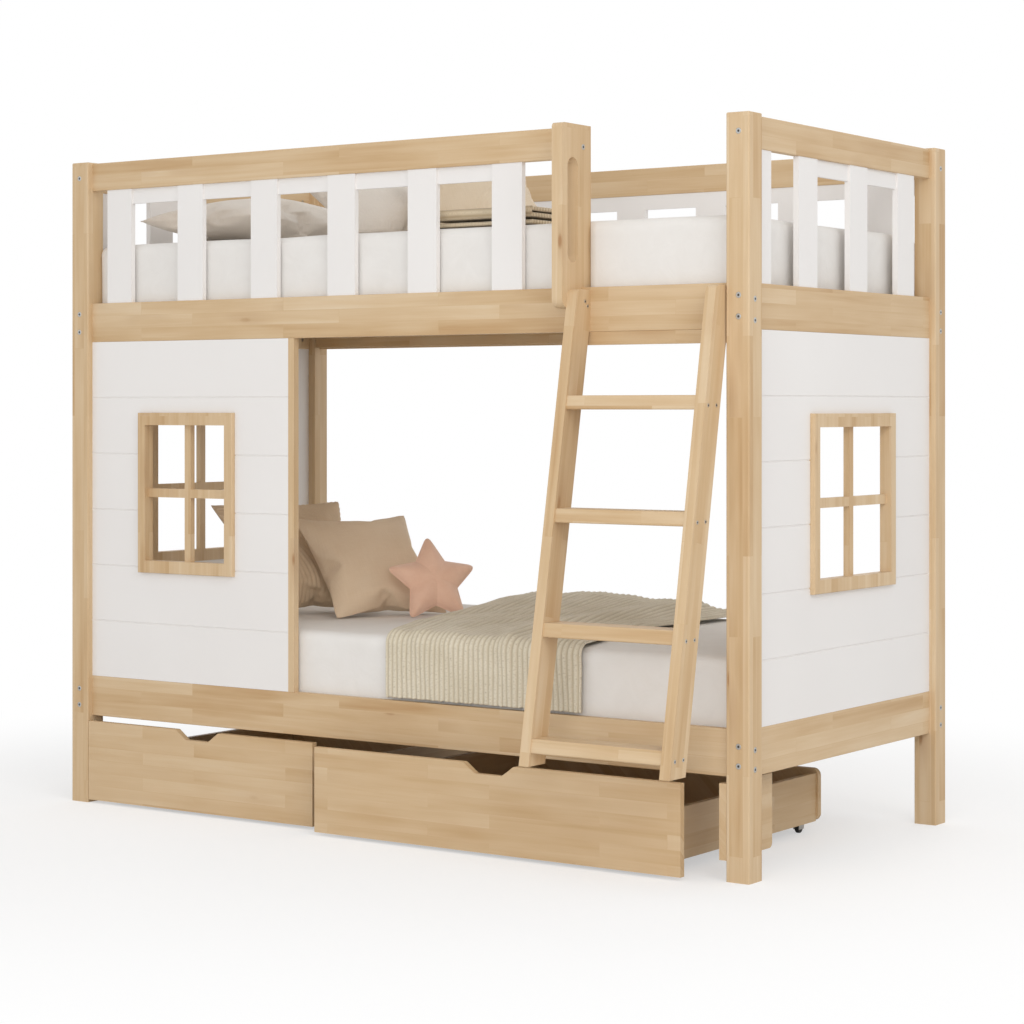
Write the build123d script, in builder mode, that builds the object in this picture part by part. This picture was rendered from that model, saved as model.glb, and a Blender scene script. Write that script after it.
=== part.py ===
from build123d import *
from math import cos, pi, radians, sin, tan
import os

# House bunk bed, in millimetres. X runs along the bed, the front faces -Y and +Z is up.
# The origin is on the floor, in the middle of the whole bed with its ladder.

# Frame
LENGTH = 2005.0
WIDTH = 976.0
HEIGHT = 1650.0
POST = 57.0
POST_ROUND = 3.0
RAIL_T = 20.0
RAIL_SETBACK = 16.5
RAIL_ROUND = 2.0
LOWER_RAIL_Z = 223.0
LOWER_RAIL_H = 103.0
UPPER_RAIL_Z = 1186.0
UPPER_RAIL_H = 100.0
GUARD_RAIL_H = 71.0
GUARD_RAIL_DROP = 3.0

# Bolts and barrel nuts of the frame
BOLT_R = 3.0
BOLT_HEAD_R = 6.5
BOLT_HEAD_T = 2.4
BOLT_HEAD_SUNK = 2.4
BOLT_IN_RAIL = 38.0
BOLT_TIP_GAP = 1.0
NUT_R = 5.0
NUT_LENGTH = 14.0
NUT_INSET = 30.0
BOLT_FIT = 0.1
NUT_BORE_FIT = 0.05
BOLT_STAGGER = 8.0
GUARD_BOLT_RISE = 33.0
UPPER_BOLT_RISES = (26.0, 72.0)
LOWER_BOLT_RISES = (27.0, 69.0)

# Guard slats and the strip between their tops
SLAT_T = 14.0
SLAT_SETBACK = 3.0
SLAT_PITCH = 242.3
FRONT_SLAT_W = 84.0
FRONT_SLAT_COUNT = 6
FRONT_SLAT_START = 50.5
END_SLAT_W = 88.0
END_FIRST_SLAT_W = 75.0
END_SLAT_PITCH = 247.0
END_SLAT_COUNT = 3
END_SLAT_START = 201.0
BACK_SLAT_COUNT = 8
BACK_SLAT_START = 104.5
STRIP_H = 38.0
STRIP_T = 9.0

# Upright handle board beside the ladder
HANDLE_X = 535.0
HANDLE_T = 28.0
HANDLE_REACH = 59.0
HANDLE_LOW_Z = 1238.0
HANDLE_LOW_ROUND = 22.0
HANDLE_TOP_ROUND = 10.0
GRIP_INSET = 22.0
GRIP_W = 41.0
GRIP_LOW_Z = 1341.0
GRIP_LENGTH = 234.0

# Ladder
LADDER_LEAN = 10.5
LADDER_W = 380.0
LADDER_FOOT_Z = 244.0
LADDER_TOP_Z = 1280.0
STRINGER_T = 25.5
STRINGER_DEPTH = 64.4
STRINGER_STEP = 6.1
STRINGER_TOP_ROUND = 18.0
RUNG_COUNT = 4
RUNG_T = 31.0
RUNG_PITCH = 247.0
FIRST_RUNG_TOP = 303.0
RUNG_SETBACK = 3.0
RUNG_ROUND = 3.0
CLEAT_H = 29.0
SCREW_R = 2.0
SCREW_HEAD_R = 4.5
SCREW_HEAD_T = 2.5
SCREW_LENGTH = 52.0
SCREW_TIP_GAP = 1.0
SCREW_SPACING = 34.0
SCREW_DROP = 22.0
STRINGER_SCREWS = ((21.0, 33.0), (10.5, 43.0))

# Wall panels, their windows and the edge strip
PANEL_T = 18.0
PANEL_BOARDS = 6
GROOVE_W = 4.0
GROOVE_DEPTH = 2.0
GROOVE_SLOPE = 25.0
FRONT_PANEL_W = 657.0
EDGE_STRIP_W = 18.0
WINDOW_Z = 599.0
WINDOW_H = 405.0
FRONT_WINDOW_W = 316.0
FRONT_WINDOW_START = 169.5
END_WINDOW_W = 407.0
END_WINDOW_START = 249.0
FRAME_SIDE_W = 25.0
FRAME_SILL_H = 31.0
FRAME_PROUD = 12.0
FRAME_CHAMFER = 1.5
WINDOW_FIT = 0.3
BAR_SETBACK = 14.0
BAR_T = 15.0
BAR_W = 20.0
BAR_H = 22.0

# Slatted bases
LEDGER_W = 25.0
LEDGER_H = 30.0
LEDGER_END_GAP = 6.0
LEDGER_RISE_LOWER = 7.0
LEDGER_RISE_UPPER = 4.0
BED_SLAT_W = 72.0
BED_SLAT_T = 20.0
BED_SLAT_COUNT = 13
BED_SLAT_END_GAP = 1.5
BED_SLAT_EDGE = 60.0
BED_SLAT_ROUND = 3.0

# Drawers
DRAWER_LEFT_X = -943.0
DRAWER_LEFT_W = 744.0
DRAWER_LEFT_PULL = 0.0
DRAWER_RIGHT_X = -150.0
DRAWER_RIGHT_W = 1013.0
DRAWER_RIGHT_PULL = 52.0
DRAWER_DEPTH = 745.0
DRAWER_FRONT_Z = 8.0
DRAWER_FRONT_H = 202.0
DRAWER_FRONT_T = 16.0
DRAWER_INSET = 60.0
DRAWER_SIDE_Z = 25.0
DRAWER_SIDE_H = 115.0
DRAWER_SIDE_T = 15.0
DRAWER_BACK_H = 126.0
DRAWER_BACK_T = 15.0
DRAWER_BACK_OVERHANG = 6.0
DRAWER_BACK_ROUND = 18.0
DRAWER_BOTTOM_RISE = 6.0
DRAWER_BOTTOM_T = 6.0
NOTCH_TOP_W = 140.0
NOTCH_BASE_W = 74.0
NOTCH_DEPTH = 24.0
NOTCH_ROUND = 6.0

# Casters of the drawers
WHEEL_R = 13.0
WHEEL_W = 10.0
WHEEL_ROUND = 2.0
WHEEL_FLOOR_GAP = 0.5
AXLE_R = 2.0
AXLE_FIT = 0.05
WHEEL_SIDE_GAP = 1.0
BRACKET_T = 2.0
BRACKET_LENGTH = 24.0
BRACKET_LEG_BELOW_AXLE = 3.5
CASTER_INSET = 8.5
CASTER_FRONT_INSET = 24.0
CASTER_REAR_INSET = 58.0

# Board that guides the right drawer past the corner post
GUIDE_T = 18.0
GUIDE_DEPTH = 202.0
GUIDE_Z = 45.0
GUIDE_H = 165.0
GUIDE_ROUND = 12.0
GUIDE_SETBACK = 2.0

# Bedding. Places are from the middle of the bed, headings and tilts in degrees
SOFT_GAP = 0.3
MATTRESS_T = 199.5
MATTRESS_END_GAP = 16.0
MATTRESS_SIDE_GAP = 1.5
MATTRESS_CORNER = 45.0
MATTRESS_EDGE = 24.0
LINEN_SIZE = 330.0
LINEN_T = 110.0
LINEN_AT = (-425.0, 26.0)
LINEN_HEADING = -21.9
LINEN_RECLINE = 42.8
RIBBED_SIZE = 380.0
RIBBED_T = 104.0
RIBBED_AT = (-627.0, -28.0)
STAR_TIP_R = 128.0
STAR_WAIST_R = 68.0
STAR_T = 66.0
STAR_TIP_ROUND = 12.0
STAR_AT = (-237.0, 49.0)
STAR_HEADING = -36.5
STAR_RECLINE = 25.0
THROW_T = 8.0
THROW_FOLD = 7.0
THROW_FOLDS = 6
THROW_CREST = 0.62
THROW_HEM_Z = 331.0
THROW_FRONT_X = (7.0, 560.0)
THROW_MIDDLE_X = (-95.0, 466.0)
THROW_BACK_X = (-260.0, 470.0)
THROW_BACK_HEAP = 40.0
THROW_BACK_EDGE = 12.0
PILLOW_LENGTH = 600.0
PILLOW_W = 390.0
PILLOW_T = 136.0
PILLOW_AT = (-745.0, 0.0)
FAN_SIZE = 360.0
FAN_T = 104.0
FAN_AT = (-322.0, -60.0)
FAN_HEADING = -20.0
FAN_RECLINE = 62.0
ARC_SIZE = 330.0
ARC_T = 96.0
ARC_AT = (-20.0, -60.0)
ARC_HEADING = -40.0
ARC_RECLINE = 58.0
FOLDED_LENGTH = 310.0
FOLDED_W = 230.0
FOLDED_LAYER_T = 15.0
FOLDED_LAYERS = 3
FOLDED_X = 72.0
FOLDED_EDGE = 45.0

# Sizes that follow from the ones above
LEAN = tan(radians(LADDER_LEAN))
LADDER_REACH = (
    STRINGER_STEP + (UPPER_RAIL_Z - LADDER_FOOT_Z) * LEAN + STRINGER_DEPTH - RAIL_SETBACK
)
FRONT_Y = (LADDER_REACH - WIDTH) / 2
BACK_Y = FRONT_Y + WIDTH
MID_Y = (FRONT_Y + BACK_Y) / 2
RAIL_FRONT_Y = FRONT_Y + RAIL_SETBACK
RAIL_END_X = LENGTH / 2 - RAIL_SETBACK
POST_X = (LENGTH - POST) / 2
POST_DY = (WIDTH - POST) / 2
INNER_X = LENGTH / 2 - POST
INNER_DY = WIDTH / 2 - POST
LOWER_RAIL_TOP = LOWER_RAIL_Z + LOWER_RAIL_H
UPPER_RAIL_TOP = UPPER_RAIL_Z + UPPER_RAIL_H
GUARD_RAIL_Z = HEIGHT - GUARD_RAIL_DROP - GUARD_RAIL_H
LADDER_X = HANDLE_X + HANDLE_T
RUNG_TOPS = [FIRST_RUNG_TOP + i * RUNG_PITCH for i in range(RUNG_COUNT)]
LOWER_SLAT_Z = LOWER_RAIL_Z + LEDGER_RISE_LOWER + LEDGER_H
UPPER_SLAT_Z = UPPER_RAIL_Z + LEDGER_RISE_UPPER + LEDGER_H
LOWER_MATTRESS_Z = LOWER_SLAT_Z + BED_SLAT_T + SOFT_GAP
UPPER_MATTRESS_Z = UPPER_SLAT_Z + BED_SLAT_T + SOFT_GAP
LOWER_BED_TOP = LOWER_MATTRESS_Z + MATTRESS_T
UPPER_BED_TOP = UPPER_MATTRESS_Z + MATTRESS_T
MATTRESS_LENGTH = LENGTH - 2 * (RAIL_SETBACK + RAIL_T + MATTRESS_END_GAP)
MATTRESS_W = WIDTH - 2 * (RAIL_SETBACK + RAIL_T + MATTRESS_SIDE_GAP)
FOLDED_Y = MID_Y - MATTRESS_W / 2 + FOLDED_EDGE + FOLDED_W / 2
AXLE_Z = WHEEL_FLOOR_GAP + WHEEL_R

# Each side of the bed is drawn on the face of its rails, seen from outside, with Z up
SIDES = {
    "front": Plane((0, RAIL_FRONT_Y, 0), x_dir=(1, 0, 0), z_dir=(0, -1, 0)),
    "back": Plane((0, BACK_Y - RAIL_SETBACK, 0), x_dir=(-1, 0, 0), z_dir=(0, 1, 0)),
    "right": Plane((RAIL_END_X, MID_Y, 0), x_dir=(0, 1, 0), z_dir=(1, 0, 0)),
    "left": Plane((-RAIL_END_X, MID_Y, 0), x_dir=(0, -1, 0), z_dir=(-1, 0, 0)),
}
HALF_SPAN = {"front": INNER_X, "back": INNER_X, "right": INNER_DY, "left": INNER_DY}

# Rail levels: bottom height, section height and the rises of the bolts above the bottom
LEVELS = {
    "lower": (LOWER_RAIL_Z, LOWER_RAIL_H, LOWER_BOLT_RISES),
    "upper": (UPPER_RAIL_Z, UPPER_RAIL_H, UPPER_BOLT_RISES),
    "guard": (GUARD_RAIL_Z, GUARD_RAIL_H, (GUARD_BOLT_RISE,)),
}


def save(piece, label):
    """Name a finished piece and write it as its own STEP file."""
    piece.part.label = label
    export_step(piece.part, f"parts/{label}.step")


def save_set(pieces, label):
    """Write pieces that belong together, but stay separate solids, as one STEP file."""
    group = Compound([solid for piece in pieces for solid in piece.part.solids()])
    group.label = label
    export_step(group, f"parts/{label}.step")


def bolt_stagger(side):
    """The bolts of the front and back rails pass under those of the end rails."""
    return 0.0 if side in ("right", "left") else -BOLT_STAGGER


def at_handle(side, level, end):
    """Every rail ends at a post, except the front guard rail, which ends at the handle board."""
    return side == "front" and level == "guard" and end > 0


def rail_reach(side, level, end):
    """Distance along the side from its middle to one end of a rail."""
    return HANDLE_X if at_handle(side, level, end) else end * HALF_SPAN[side]


def bolt_heights(side, level):
    low, _, rises = LEVELS[level]
    return [low + rise + bolt_stagger(side) for rise in rises]


def bolt_planes(side, level, end):
    """Planes on a rail's end face at its bolts, pointing out along the rail."""
    plane = SIDES[side]
    across = rail_reach(side, level, end)
    return [
        Plane(plane.from_local_coords((across, height, -RAIL_T / 2)), z_dir=plane.x_dir * end)
        for height in bolt_heights(side, level)
    ]


def nut_planes(side, level, end):
    """Planes on a rail's inner face at its barrel nuts, X along the bolt."""
    plane = SIDES[side]
    across = rail_reach(side, level, end) - end * NUT_INSET
    return [
        Plane(
            plane.from_local_coords((across, height, -RAIL_T)),
            x_dir=plane.x_dir * end,
            z_dir=-plane.z_dir,
        )
        for height in bolt_heights(side, level)
    ]


def rail_ends():
    """Every rail end of the frame as side, level and end."""
    return [(side, level, end) for side in SIDES for level in LEVELS for end in (-1, 1)]


def cut_bolt_holes(planes, thickness):
    """Counterbored holes for bolts that pass through a piece, from its outer face."""
    with Locations([plane.offset(thickness) for plane in planes]):
        CounterBoreHole(
            BOLT_R + BOLT_FIT, BOLT_HEAD_R + BOLT_FIT, BOLT_HEAD_SUNK, thickness
        )


# Corner posts, bored for the bolts of the rails that they carry
def make_post(end_x, end_y):
    long_side = "front" if end_y < 0 else "back"
    short_side = "right" if end_x > 0 else "left"
    long_end = end_x if long_side == "front" else -end_x
    short_end = end_y if short_side == "right" else -end_y
    planes = []
    for level in LEVELS:
        planes += bolt_planes(short_side, level, short_end)
        if not at_handle(long_side, level, long_end):
            planes += bolt_planes(long_side, level, long_end)
    with BuildPart() as post:
        with BuildSketch(Plane.XY):
            with Locations((end_x * POST_X, MID_Y + end_y * POST_DY)):
                RectangleRounded(POST, POST, POST_ROUND)
        extrude(amount=HEIGHT)
        fillet(post.faces().sort_by(Axis.Z)[-1].edges(), POST_ROUND)
        cut_bolt_holes(planes, POST)
    return post


# Rails, bored at both ends for bolts and barrel nuts
def make_rail(side, level):
    low, height, _ = LEVELS[level]
    left, right = rail_reach(side, level, -1), rail_reach(side, level, 1)
    with BuildPart() as rail:
        with BuildSketch(SIDES[side]):
            with Locations(((left + right) / 2, low + height / 2)):
                Rectangle(right - left, height)
        extrude(amount=-RAIL_T)
        fillet(rail.edges().filter_by(Axis((0, 0, 0), SIDES[side].x_dir)), RAIL_ROUND)
        with Locations(bolt_planes(side, level, -1) + bolt_planes(side, level, 1)):
            Hole(BOLT_R + BOLT_FIT, BOLT_IN_RAIL)
        with Locations(nut_planes(side, level, -1) + nut_planes(side, level, 1)):
            Hole(NUT_R + BOLT_FIT, NUT_LENGTH)
    return rail


# Bolts and barrel nuts
def make_bolt(head_r, head_t, head_sunk, shank_r, reach):
    """One bolt or screw, its shank down from the origin and its head sunk below it."""
    with BuildPart() as bolt:
        with BuildSketch(Plane.XY.offset(-head_sunk)):
            Circle(head_r)
        extrude(amount=head_t)
        fillet(bolt.faces().sort_by(Axis.Z)[-1].edges(), head_t / 3)
        with BuildSketch(Plane.XY.offset(-head_sunk)):
            Circle(shank_r)
        extrude(amount=head_sunk - reach)
    return bolt


def make_frame_bolts():
    """Bolts that pass through the posts and the handle board into the barrel nuts."""
    posts, board = [], []
    for side, level, end in rail_ends():
        carrier = board if at_handle(side, level, end) else posts
        carrier += bolt_planes(side, level, end)
    inside = BOLT_IN_RAIL - BOLT_TIP_GAP
    long_bolt = make_bolt(BOLT_HEAD_R, BOLT_HEAD_T, BOLT_HEAD_SUNK, BOLT_R, POST + inside)
    with BuildPart() as bolts:
        with Locations([plane.offset(POST) for plane in posts]):
            add(long_bolt.part)
    short_bolt = make_bolt(BOLT_HEAD_R, BOLT_HEAD_T, BOLT_HEAD_SUNK, BOLT_R, HANDLE_T + inside)
    with BuildPart() as short_bolts:
        with Locations([plane.offset(HANDLE_T) for plane in board]):
            add(short_bolt.part)
    return [bolts, short_bolts]


def make_barrel_nuts():
    with BuildPart() as nut:
        with BuildSketch(Plane.XY):
            Circle(NUT_R)
        extrude(amount=-NUT_LENGTH)
        with Locations(Plane((NUT_R, 0, -RAIL_T / 2), z_dir=(1, 0, 0))):
            Hole(BOLT_R + NUT_BORE_FIT, 2 * NUT_R)
    planes = [plane for rail_end in rail_ends() for plane in nut_planes(*rail_end)]
    with BuildPart() as nuts:
        with Locations(planes):
            add(nut.part)
    return nuts


# Guard slats: (left edge, width) of each slat along its side
def slat_rows():
    front = [
        (-INNER_X + FRONT_SLAT_START + i * SLAT_PITCH, FRONT_SLAT_W)
        for i in range(FRONT_SLAT_COUNT)
    ]
    end = [(-INNER_DY, END_FIRST_SLAT_W)] + [
        (-INNER_DY + END_SLAT_START + i * END_SLAT_PITCH, END_SLAT_W)
        for i in range(END_SLAT_COUNT)
    ]
    mirrored_end = [(-left - width, width) for left, width in reversed(end)]
    back = [
        (-INNER_X + BACK_SLAT_START - END_SLAT_W / 2 + i * SLAT_PITCH, END_SLAT_W)
        for i in range(BACK_SLAT_COUNT)
    ]
    return {"front": front, "right": end, "left": mirrored_end, "back": back}


def strip_spans(side, slats):
    """Gaps between neighbouring slats that the strip fills."""
    spans = [
        (a_left + a_width, b_left)
        for (a_left, a_width), (b_left, _) in zip(slats, slats[1:])
    ]
    if side == "right":
        spans = spans[1:]
    if side == "left":
        spans = spans[:-1]
    if side == "back":
        last_left, last_width = slats[-1]
        spans = [(-INNER_X, slats[0][0])] + spans + [(last_left + last_width, INNER_X)]
    return spans


def make_guard_slats(side, slats):
    plane = SIDES[side].offset(-SLAT_SETBACK)
    height = GUARD_RAIL_Z - UPPER_RAIL_TOP
    with BuildPart() as row:
        with BuildSketch(plane):
            for left, width in slats:
                with Locations((left + width / 2, UPPER_RAIL_TOP + height / 2)):
                    Rectangle(width, height)
        extrude(amount=-SLAT_T)
    return row


def make_guard_strip(side, slats):
    """Filler strips between the slat tops, flush with the slats' backs."""
    with BuildPart() as strip:
        with BuildSketch(SIDES[side].offset(STRIP_T - SLAT_SETBACK - SLAT_T)):
            for left, right in strip_spans(side, slats):
                with Locations(((left + right) / 2, GUARD_RAIL_Z - STRIP_H / 2)):
                    Rectangle(right - left, STRIP_H)
        extrude(amount=-STRIP_T)
    return strip


# Handle board: it stands on the upper rail, with a toe in front of the rail
def make_handle_board():
    front = FRONT_Y - HANDLE_REACH
    back = FRONT_Y + POST
    with BuildPart() as board:
        with BuildSketch(Plane.YZ.offset(HANDLE_X)) as outline:
            with BuildLine():
                Polyline(
                    (front, HANDLE_LOW_Z),
                    (RAIL_FRONT_Y, HANDLE_LOW_Z),
                    (RAIL_FRONT_Y, UPPER_RAIL_TOP),
                    (back, UPPER_RAIL_TOP),
                    (back, HEIGHT),
                    (front, HEIGHT),
                    close=True,
                )
            make_face()
            front_corners = outline.vertices().group_by(Axis.X)[0].sort_by(Axis.Y)
            fillet(front_corners[0], HANDLE_LOW_ROUND)
            fillet(outline.vertices().sort_by(Axis.Y)[-2:].sort_by(Axis.X)[0], HANDLE_TOP_ROUND)
            with Locations((front + GRIP_INSET + GRIP_W / 2, GRIP_LOW_Z + GRIP_LENGTH / 2)):
                SlotOverall(GRIP_LENGTH, GRIP_W, rotation=90, mode=Mode.SUBTRACT)
        extrude(amount=HANDLE_T)
        cut_bolt_holes(bolt_planes("front", "guard", 1), HANDLE_T)
        with Locations(stringer_top_screws()):
            Hole(SCREW_R + BOLT_FIT, SCREW_LENGTH)
    return board


def stringer_top_screws():
    """Two screws through the top of the left stringer into the handle board."""
    face = LADDER_X + STRINGER_T
    return [
        Plane((face, RAIL_FRONT_Y - inset, UPPER_RAIL_TOP - drop), z_dir=(1, 0, 0))
        for inset, drop in STRINGER_SCREWS
    ]


# Ladder
def ladder_back(height):
    """Y of the stringers' back edge at a height."""
    return RAIL_FRONT_Y - STRINGER_STEP - (UPPER_RAIL_Z - height) * LEAN


def make_stringer(left):
    with BuildPart() as stringer:
        with BuildSketch(Plane.YZ.offset(left)) as outline:
            with BuildLine():
                Polyline(
                    (ladder_back(LADDER_FOOT_Z), LADDER_FOOT_Z),
                    (ladder_back(UPPER_RAIL_Z), UPPER_RAIL_Z),
                    (RAIL_FRONT_Y, UPPER_RAIL_Z),
                    (RAIL_FRONT_Y, LADDER_TOP_Z),
                    (ladder_back(LADDER_TOP_Z) - STRINGER_DEPTH, LADDER_TOP_Z),
                    (ladder_back(LADDER_FOOT_Z) - STRINGER_DEPTH, LADDER_FOOT_Z),
                    close=True,
                )
            make_face()
            top = outline.vertices().group_by(Axis.Y)[-1].sort_by(Axis.X)[0]
            fillet(top, STRINGER_TOP_ROUND)
        extrude(amount=STRINGER_T)
        with Locations(stringer_screw_planes(left)):
            CounterBoreHole(
                SCREW_R + BOLT_FIT, SCREW_HEAD_R + BOLT_FIT, SCREW_HEAD_T, STRINGER_T
            )
    return stringer


def stringer_screw_planes(left):
    """All screws that pass through a stringer."""
    top_screws = stringer_top_screws() if left == LADDER_X else []
    return screw_planes(left) + top_screws


def screw_planes(left):
    """Planes of the screw heads on a stringer's outer face, two at each rung."""
    outward = -1 if left == LADDER_X else 1
    face = left if outward < 0 else left + STRINGER_T
    planes = []
    for top in RUNG_TOPS:
        height = top - SCREW_DROP
        middle = ladder_back(height) - STRINGER_DEPTH / 2
        for offset in (-SCREW_SPACING / 2, SCREW_SPACING / 2):
            centre = (face, middle + offset, height)
            planes.append(Plane(centre, z_dir=(outward, 0, 0)))
    return planes


def stringer_lefts():
    """Left faces of the two stringers."""
    return (LADDER_X, LADDER_X + LADDER_W - STRINGER_T)


def make_rungs():
    left, right = stringer_lefts()
    with BuildPart() as rungs:
        for top in RUNG_TOPS:
            low = top - RUNG_T
            with BuildSketch(Plane.YZ.offset(left + STRINGER_T)) as section:
                with BuildLine():
                    Polyline(
                        (ladder_back(low), low),
                        (ladder_back(top), top),
                        (ladder_back(top) - STRINGER_DEPTH + RUNG_SETBACK, top),
                        (ladder_back(low) - STRINGER_DEPTH + RUNG_SETBACK, low),
                        close=True,
                    )
                make_face()
                fillet(section.vertices(), RUNG_ROUND)
            extrude(amount=right - left - STRINGER_T)
        with Locations(screw_planes(left) + screw_planes(right)):
            Hole(SCREW_R + BOLT_FIT, SCREW_LENGTH)
    return rungs


def make_ladder_screws():
    left, right = stringer_lefts()
    reach = SCREW_LENGTH - SCREW_TIP_GAP
    screw = make_bolt(SCREW_HEAD_R, SCREW_HEAD_T, SCREW_HEAD_T, SCREW_R, reach)
    with BuildPart() as screws:
        with Locations(stringer_screw_planes(left) + stringer_screw_planes(right)):
            add(screw.part)
    return screws


def make_ladder_cleat():
    """Strip under the upper rail, behind the stringers."""
    with BuildPart() as cleat:
        with BuildSketch(SIDES["front"]):
            with Locations((LADDER_X + LADDER_W / 2, UPPER_RAIL_Z - CLEAT_H / 2)):
                Rectangle(LADDER_W, CLEAT_H)
        extrude(amount=-RAIL_T)
    return cleat


# Wall panels with board grooves and a window opening
def panel_spans():
    """Left and right edge of each wall panel along its side."""
    return {
        "front": (-INNER_X, -INNER_X + FRONT_PANEL_W),
        "right": (-INNER_DY, INNER_DY),
        "left": (-INNER_DY, INNER_DY),
    }


def window_spans():
    """Left and right edge of each window frame along its side."""
    front = -INNER_X + FRONT_WINDOW_START
    end = -INNER_DY + END_WINDOW_START
    return {
        "front": (front, front + FRONT_WINDOW_W),
        "right": (end, end + END_WINDOW_W),
        "left": (end, end + END_WINDOW_W),
    }


def make_wall_panel(side):
    left, right = panel_spans()[side]
    window_left, window_right = window_spans()[side]
    height = UPPER_RAIL_Z - LOWER_RAIL_TOP
    board = height / PANEL_BOARDS
    with BuildPart() as panel:
        with BuildSketch(SIDES[side]):
            with Locations(((left + right) / 2, LOWER_RAIL_TOP + height / 2)):
                Rectangle(right - left, height)
            with Locations(((window_left + window_right) / 2, WINDOW_Z + WINDOW_H / 2)):
                Rectangle(
                    window_right - window_left + 2 * WINDOW_FIT,
                    WINDOW_H + 2 * WINDOW_FIT,
                    mode=Mode.SUBTRACT,
                )
        extrude(amount=-PANEL_T)
        with BuildSketch(SIDES[side]):
            for i in range(1, PANEL_BOARDS):
                with Locations(((left + right) / 2, LOWER_RAIL_TOP + i * board)):
                    Rectangle(right - left, GROOVE_W)
        extrude(amount=-GROOVE_DEPTH, taper=GROOVE_SLOPE, mode=Mode.SUBTRACT)
    return panel


def make_edge_strip():
    """Wood strip that closes the open edge of the front panel."""
    left = panel_spans()["front"][1]
    height = UPPER_RAIL_Z - LOWER_RAIL_TOP
    with BuildPart() as strip:
        with BuildSketch(SIDES["front"]):
            with Locations((left + EDGE_STRIP_W / 2, LOWER_RAIL_TOP + height / 2)):
                Rectangle(EDGE_STRIP_W, height)
        extrude(amount=-PANEL_T)
    return strip


# Window frames: a deep box that passes through the panel and stands proud of it
def make_window_frame(side):
    left, right = window_spans()[side]
    plane = SIDES[side].offset(FRAME_PROUD)
    with BuildPart() as frame:
        with BuildSketch(plane):
            with Locations(((left + right) / 2, WINDOW_Z + WINDOW_H / 2)):
                Rectangle(right - left, WINDOW_H)
                Rectangle(
                    right - left - 2 * FRAME_SIDE_W,
                    WINDOW_H - 2 * FRAME_SILL_H,
                    mode=Mode.SUBTRACT,
                )
        extrude(amount=-(FRAME_PROUD + PANEL_T))
        face = frame.faces().sort_by(Axis(plane.origin, plane.z_dir))[-1]
        chamfer(face.outer_wire().edges(), FRAME_CHAMFER)
    return frame


def make_window_bar(side, width, height, lap):
    """One bar of a window, halved at the crossing: lap 0 cuts its front half, 1 its back half."""
    left, right = window_spans()[side]
    centre = ((left + right) / 2, WINDOW_Z + WINDOW_H / 2)
    face = SIDES[side].offset(FRAME_PROUD - BAR_SETBACK)
    with BuildPart() as bar:
        with BuildSketch(face):
            with Locations(centre):
                Rectangle(width, height)
        extrude(amount=-BAR_T)
        with BuildSketch(face.offset(-lap * BAR_T / 2)):
            with Locations(centre):
                Rectangle(BAR_W, BAR_H)
        extrude(amount=-BAR_T / 2, mode=Mode.SUBTRACT)
    return bar


def make_window_bars(side):
    left, right = window_spans()[side]
    upright = make_window_bar(side, BAR_W, WINDOW_H - 2 * FRAME_SILL_H, 1)
    level = make_window_bar(side, right - left - 2 * FRAME_SIDE_W, BAR_H, 0)
    return [upright, level]


# Slatted bases on ledger strips
def make_ledgers():
    with BuildPart() as ledgers:
        for side in ("front", "back"):
            plane = SIDES[side].offset(-RAIL_T)
            with BuildSketch(plane):
                for top in (LOWER_SLAT_Z, UPPER_SLAT_Z):
                    with Locations((0, top - LEDGER_H / 2)):
                        Rectangle(2 * (INNER_X - LEDGER_END_GAP), LEDGER_H)
            extrude(amount=-LEDGER_W)
    return ledgers


def make_bed_slats(low):
    first = -INNER_X + BED_SLAT_EDGE
    step = -2 * first / (BED_SLAT_COUNT - 1)
    length = WIDTH - 2 * (RAIL_SETBACK + RAIL_T + BED_SLAT_END_GAP)
    with BuildPart() as slats:
        with BuildSketch(Plane.XY.offset(low)):
            with Locations([(first + i * step, MID_Y) for i in range(BED_SLAT_COUNT)]):
                RectangleRounded(BED_SLAT_W, length, BED_SLAT_ROUND)
        extrude(amount=BED_SLAT_T)
    return slats


# Drawers: a front with a hand notch, a box on four casters
def make_drawer_front(left, width, pull):
    centre = (left + width / 2, FRONT_Y - pull, DRAWER_FRONT_Z)
    plane = Plane(centre, x_dir=(1, 0, 0), z_dir=(0, -1, 0))
    with BuildPart() as front:
        with BuildSketch(plane) as outline:
            with BuildLine():
                Polyline(
                    (-width / 2, 0),
                    (width / 2, 0),
                    (width / 2, DRAWER_FRONT_H),
                    (NOTCH_TOP_W / 2, DRAWER_FRONT_H),
                    (NOTCH_BASE_W / 2, DRAWER_FRONT_H - NOTCH_DEPTH),
                    (-NOTCH_BASE_W / 2, DRAWER_FRONT_H - NOTCH_DEPTH),
                    (-NOTCH_TOP_W / 2, DRAWER_FRONT_H),
                    (-width / 2, DRAWER_FRONT_H),
                    close=True,
                )
            make_face()
            notch = outline.vertices().filter_by(lambda v: abs(v.X) < NOTCH_TOP_W)
            fillet(notch, NOTCH_ROUND)
        extrude(amount=-DRAWER_FRONT_T)
    return front


def drawer_box(left, width, pull):
    """Outer left and right of a drawer's box, and the Y of its front and back."""
    front = FRONT_Y - pull + DRAWER_FRONT_T
    return left + DRAWER_INSET, left + width - DRAWER_INSET, front, FRONT_Y - pull + DRAWER_DEPTH


def make_drawer_sides(left, width, pull):
    box_left, box_right, front, back = drawer_box(left, width, pull)
    depth = back - DRAWER_BACK_T - front
    with BuildPart() as sides:
        with BuildSketch(Plane.XY.offset(DRAWER_SIDE_Z)):
            for x in (box_left + DRAWER_SIDE_T / 2, box_right - DRAWER_SIDE_T / 2):
                with Locations((x, front + depth / 2)):
                    Rectangle(DRAWER_SIDE_T, depth)
        extrude(amount=DRAWER_SIDE_H)
    return sides


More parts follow.
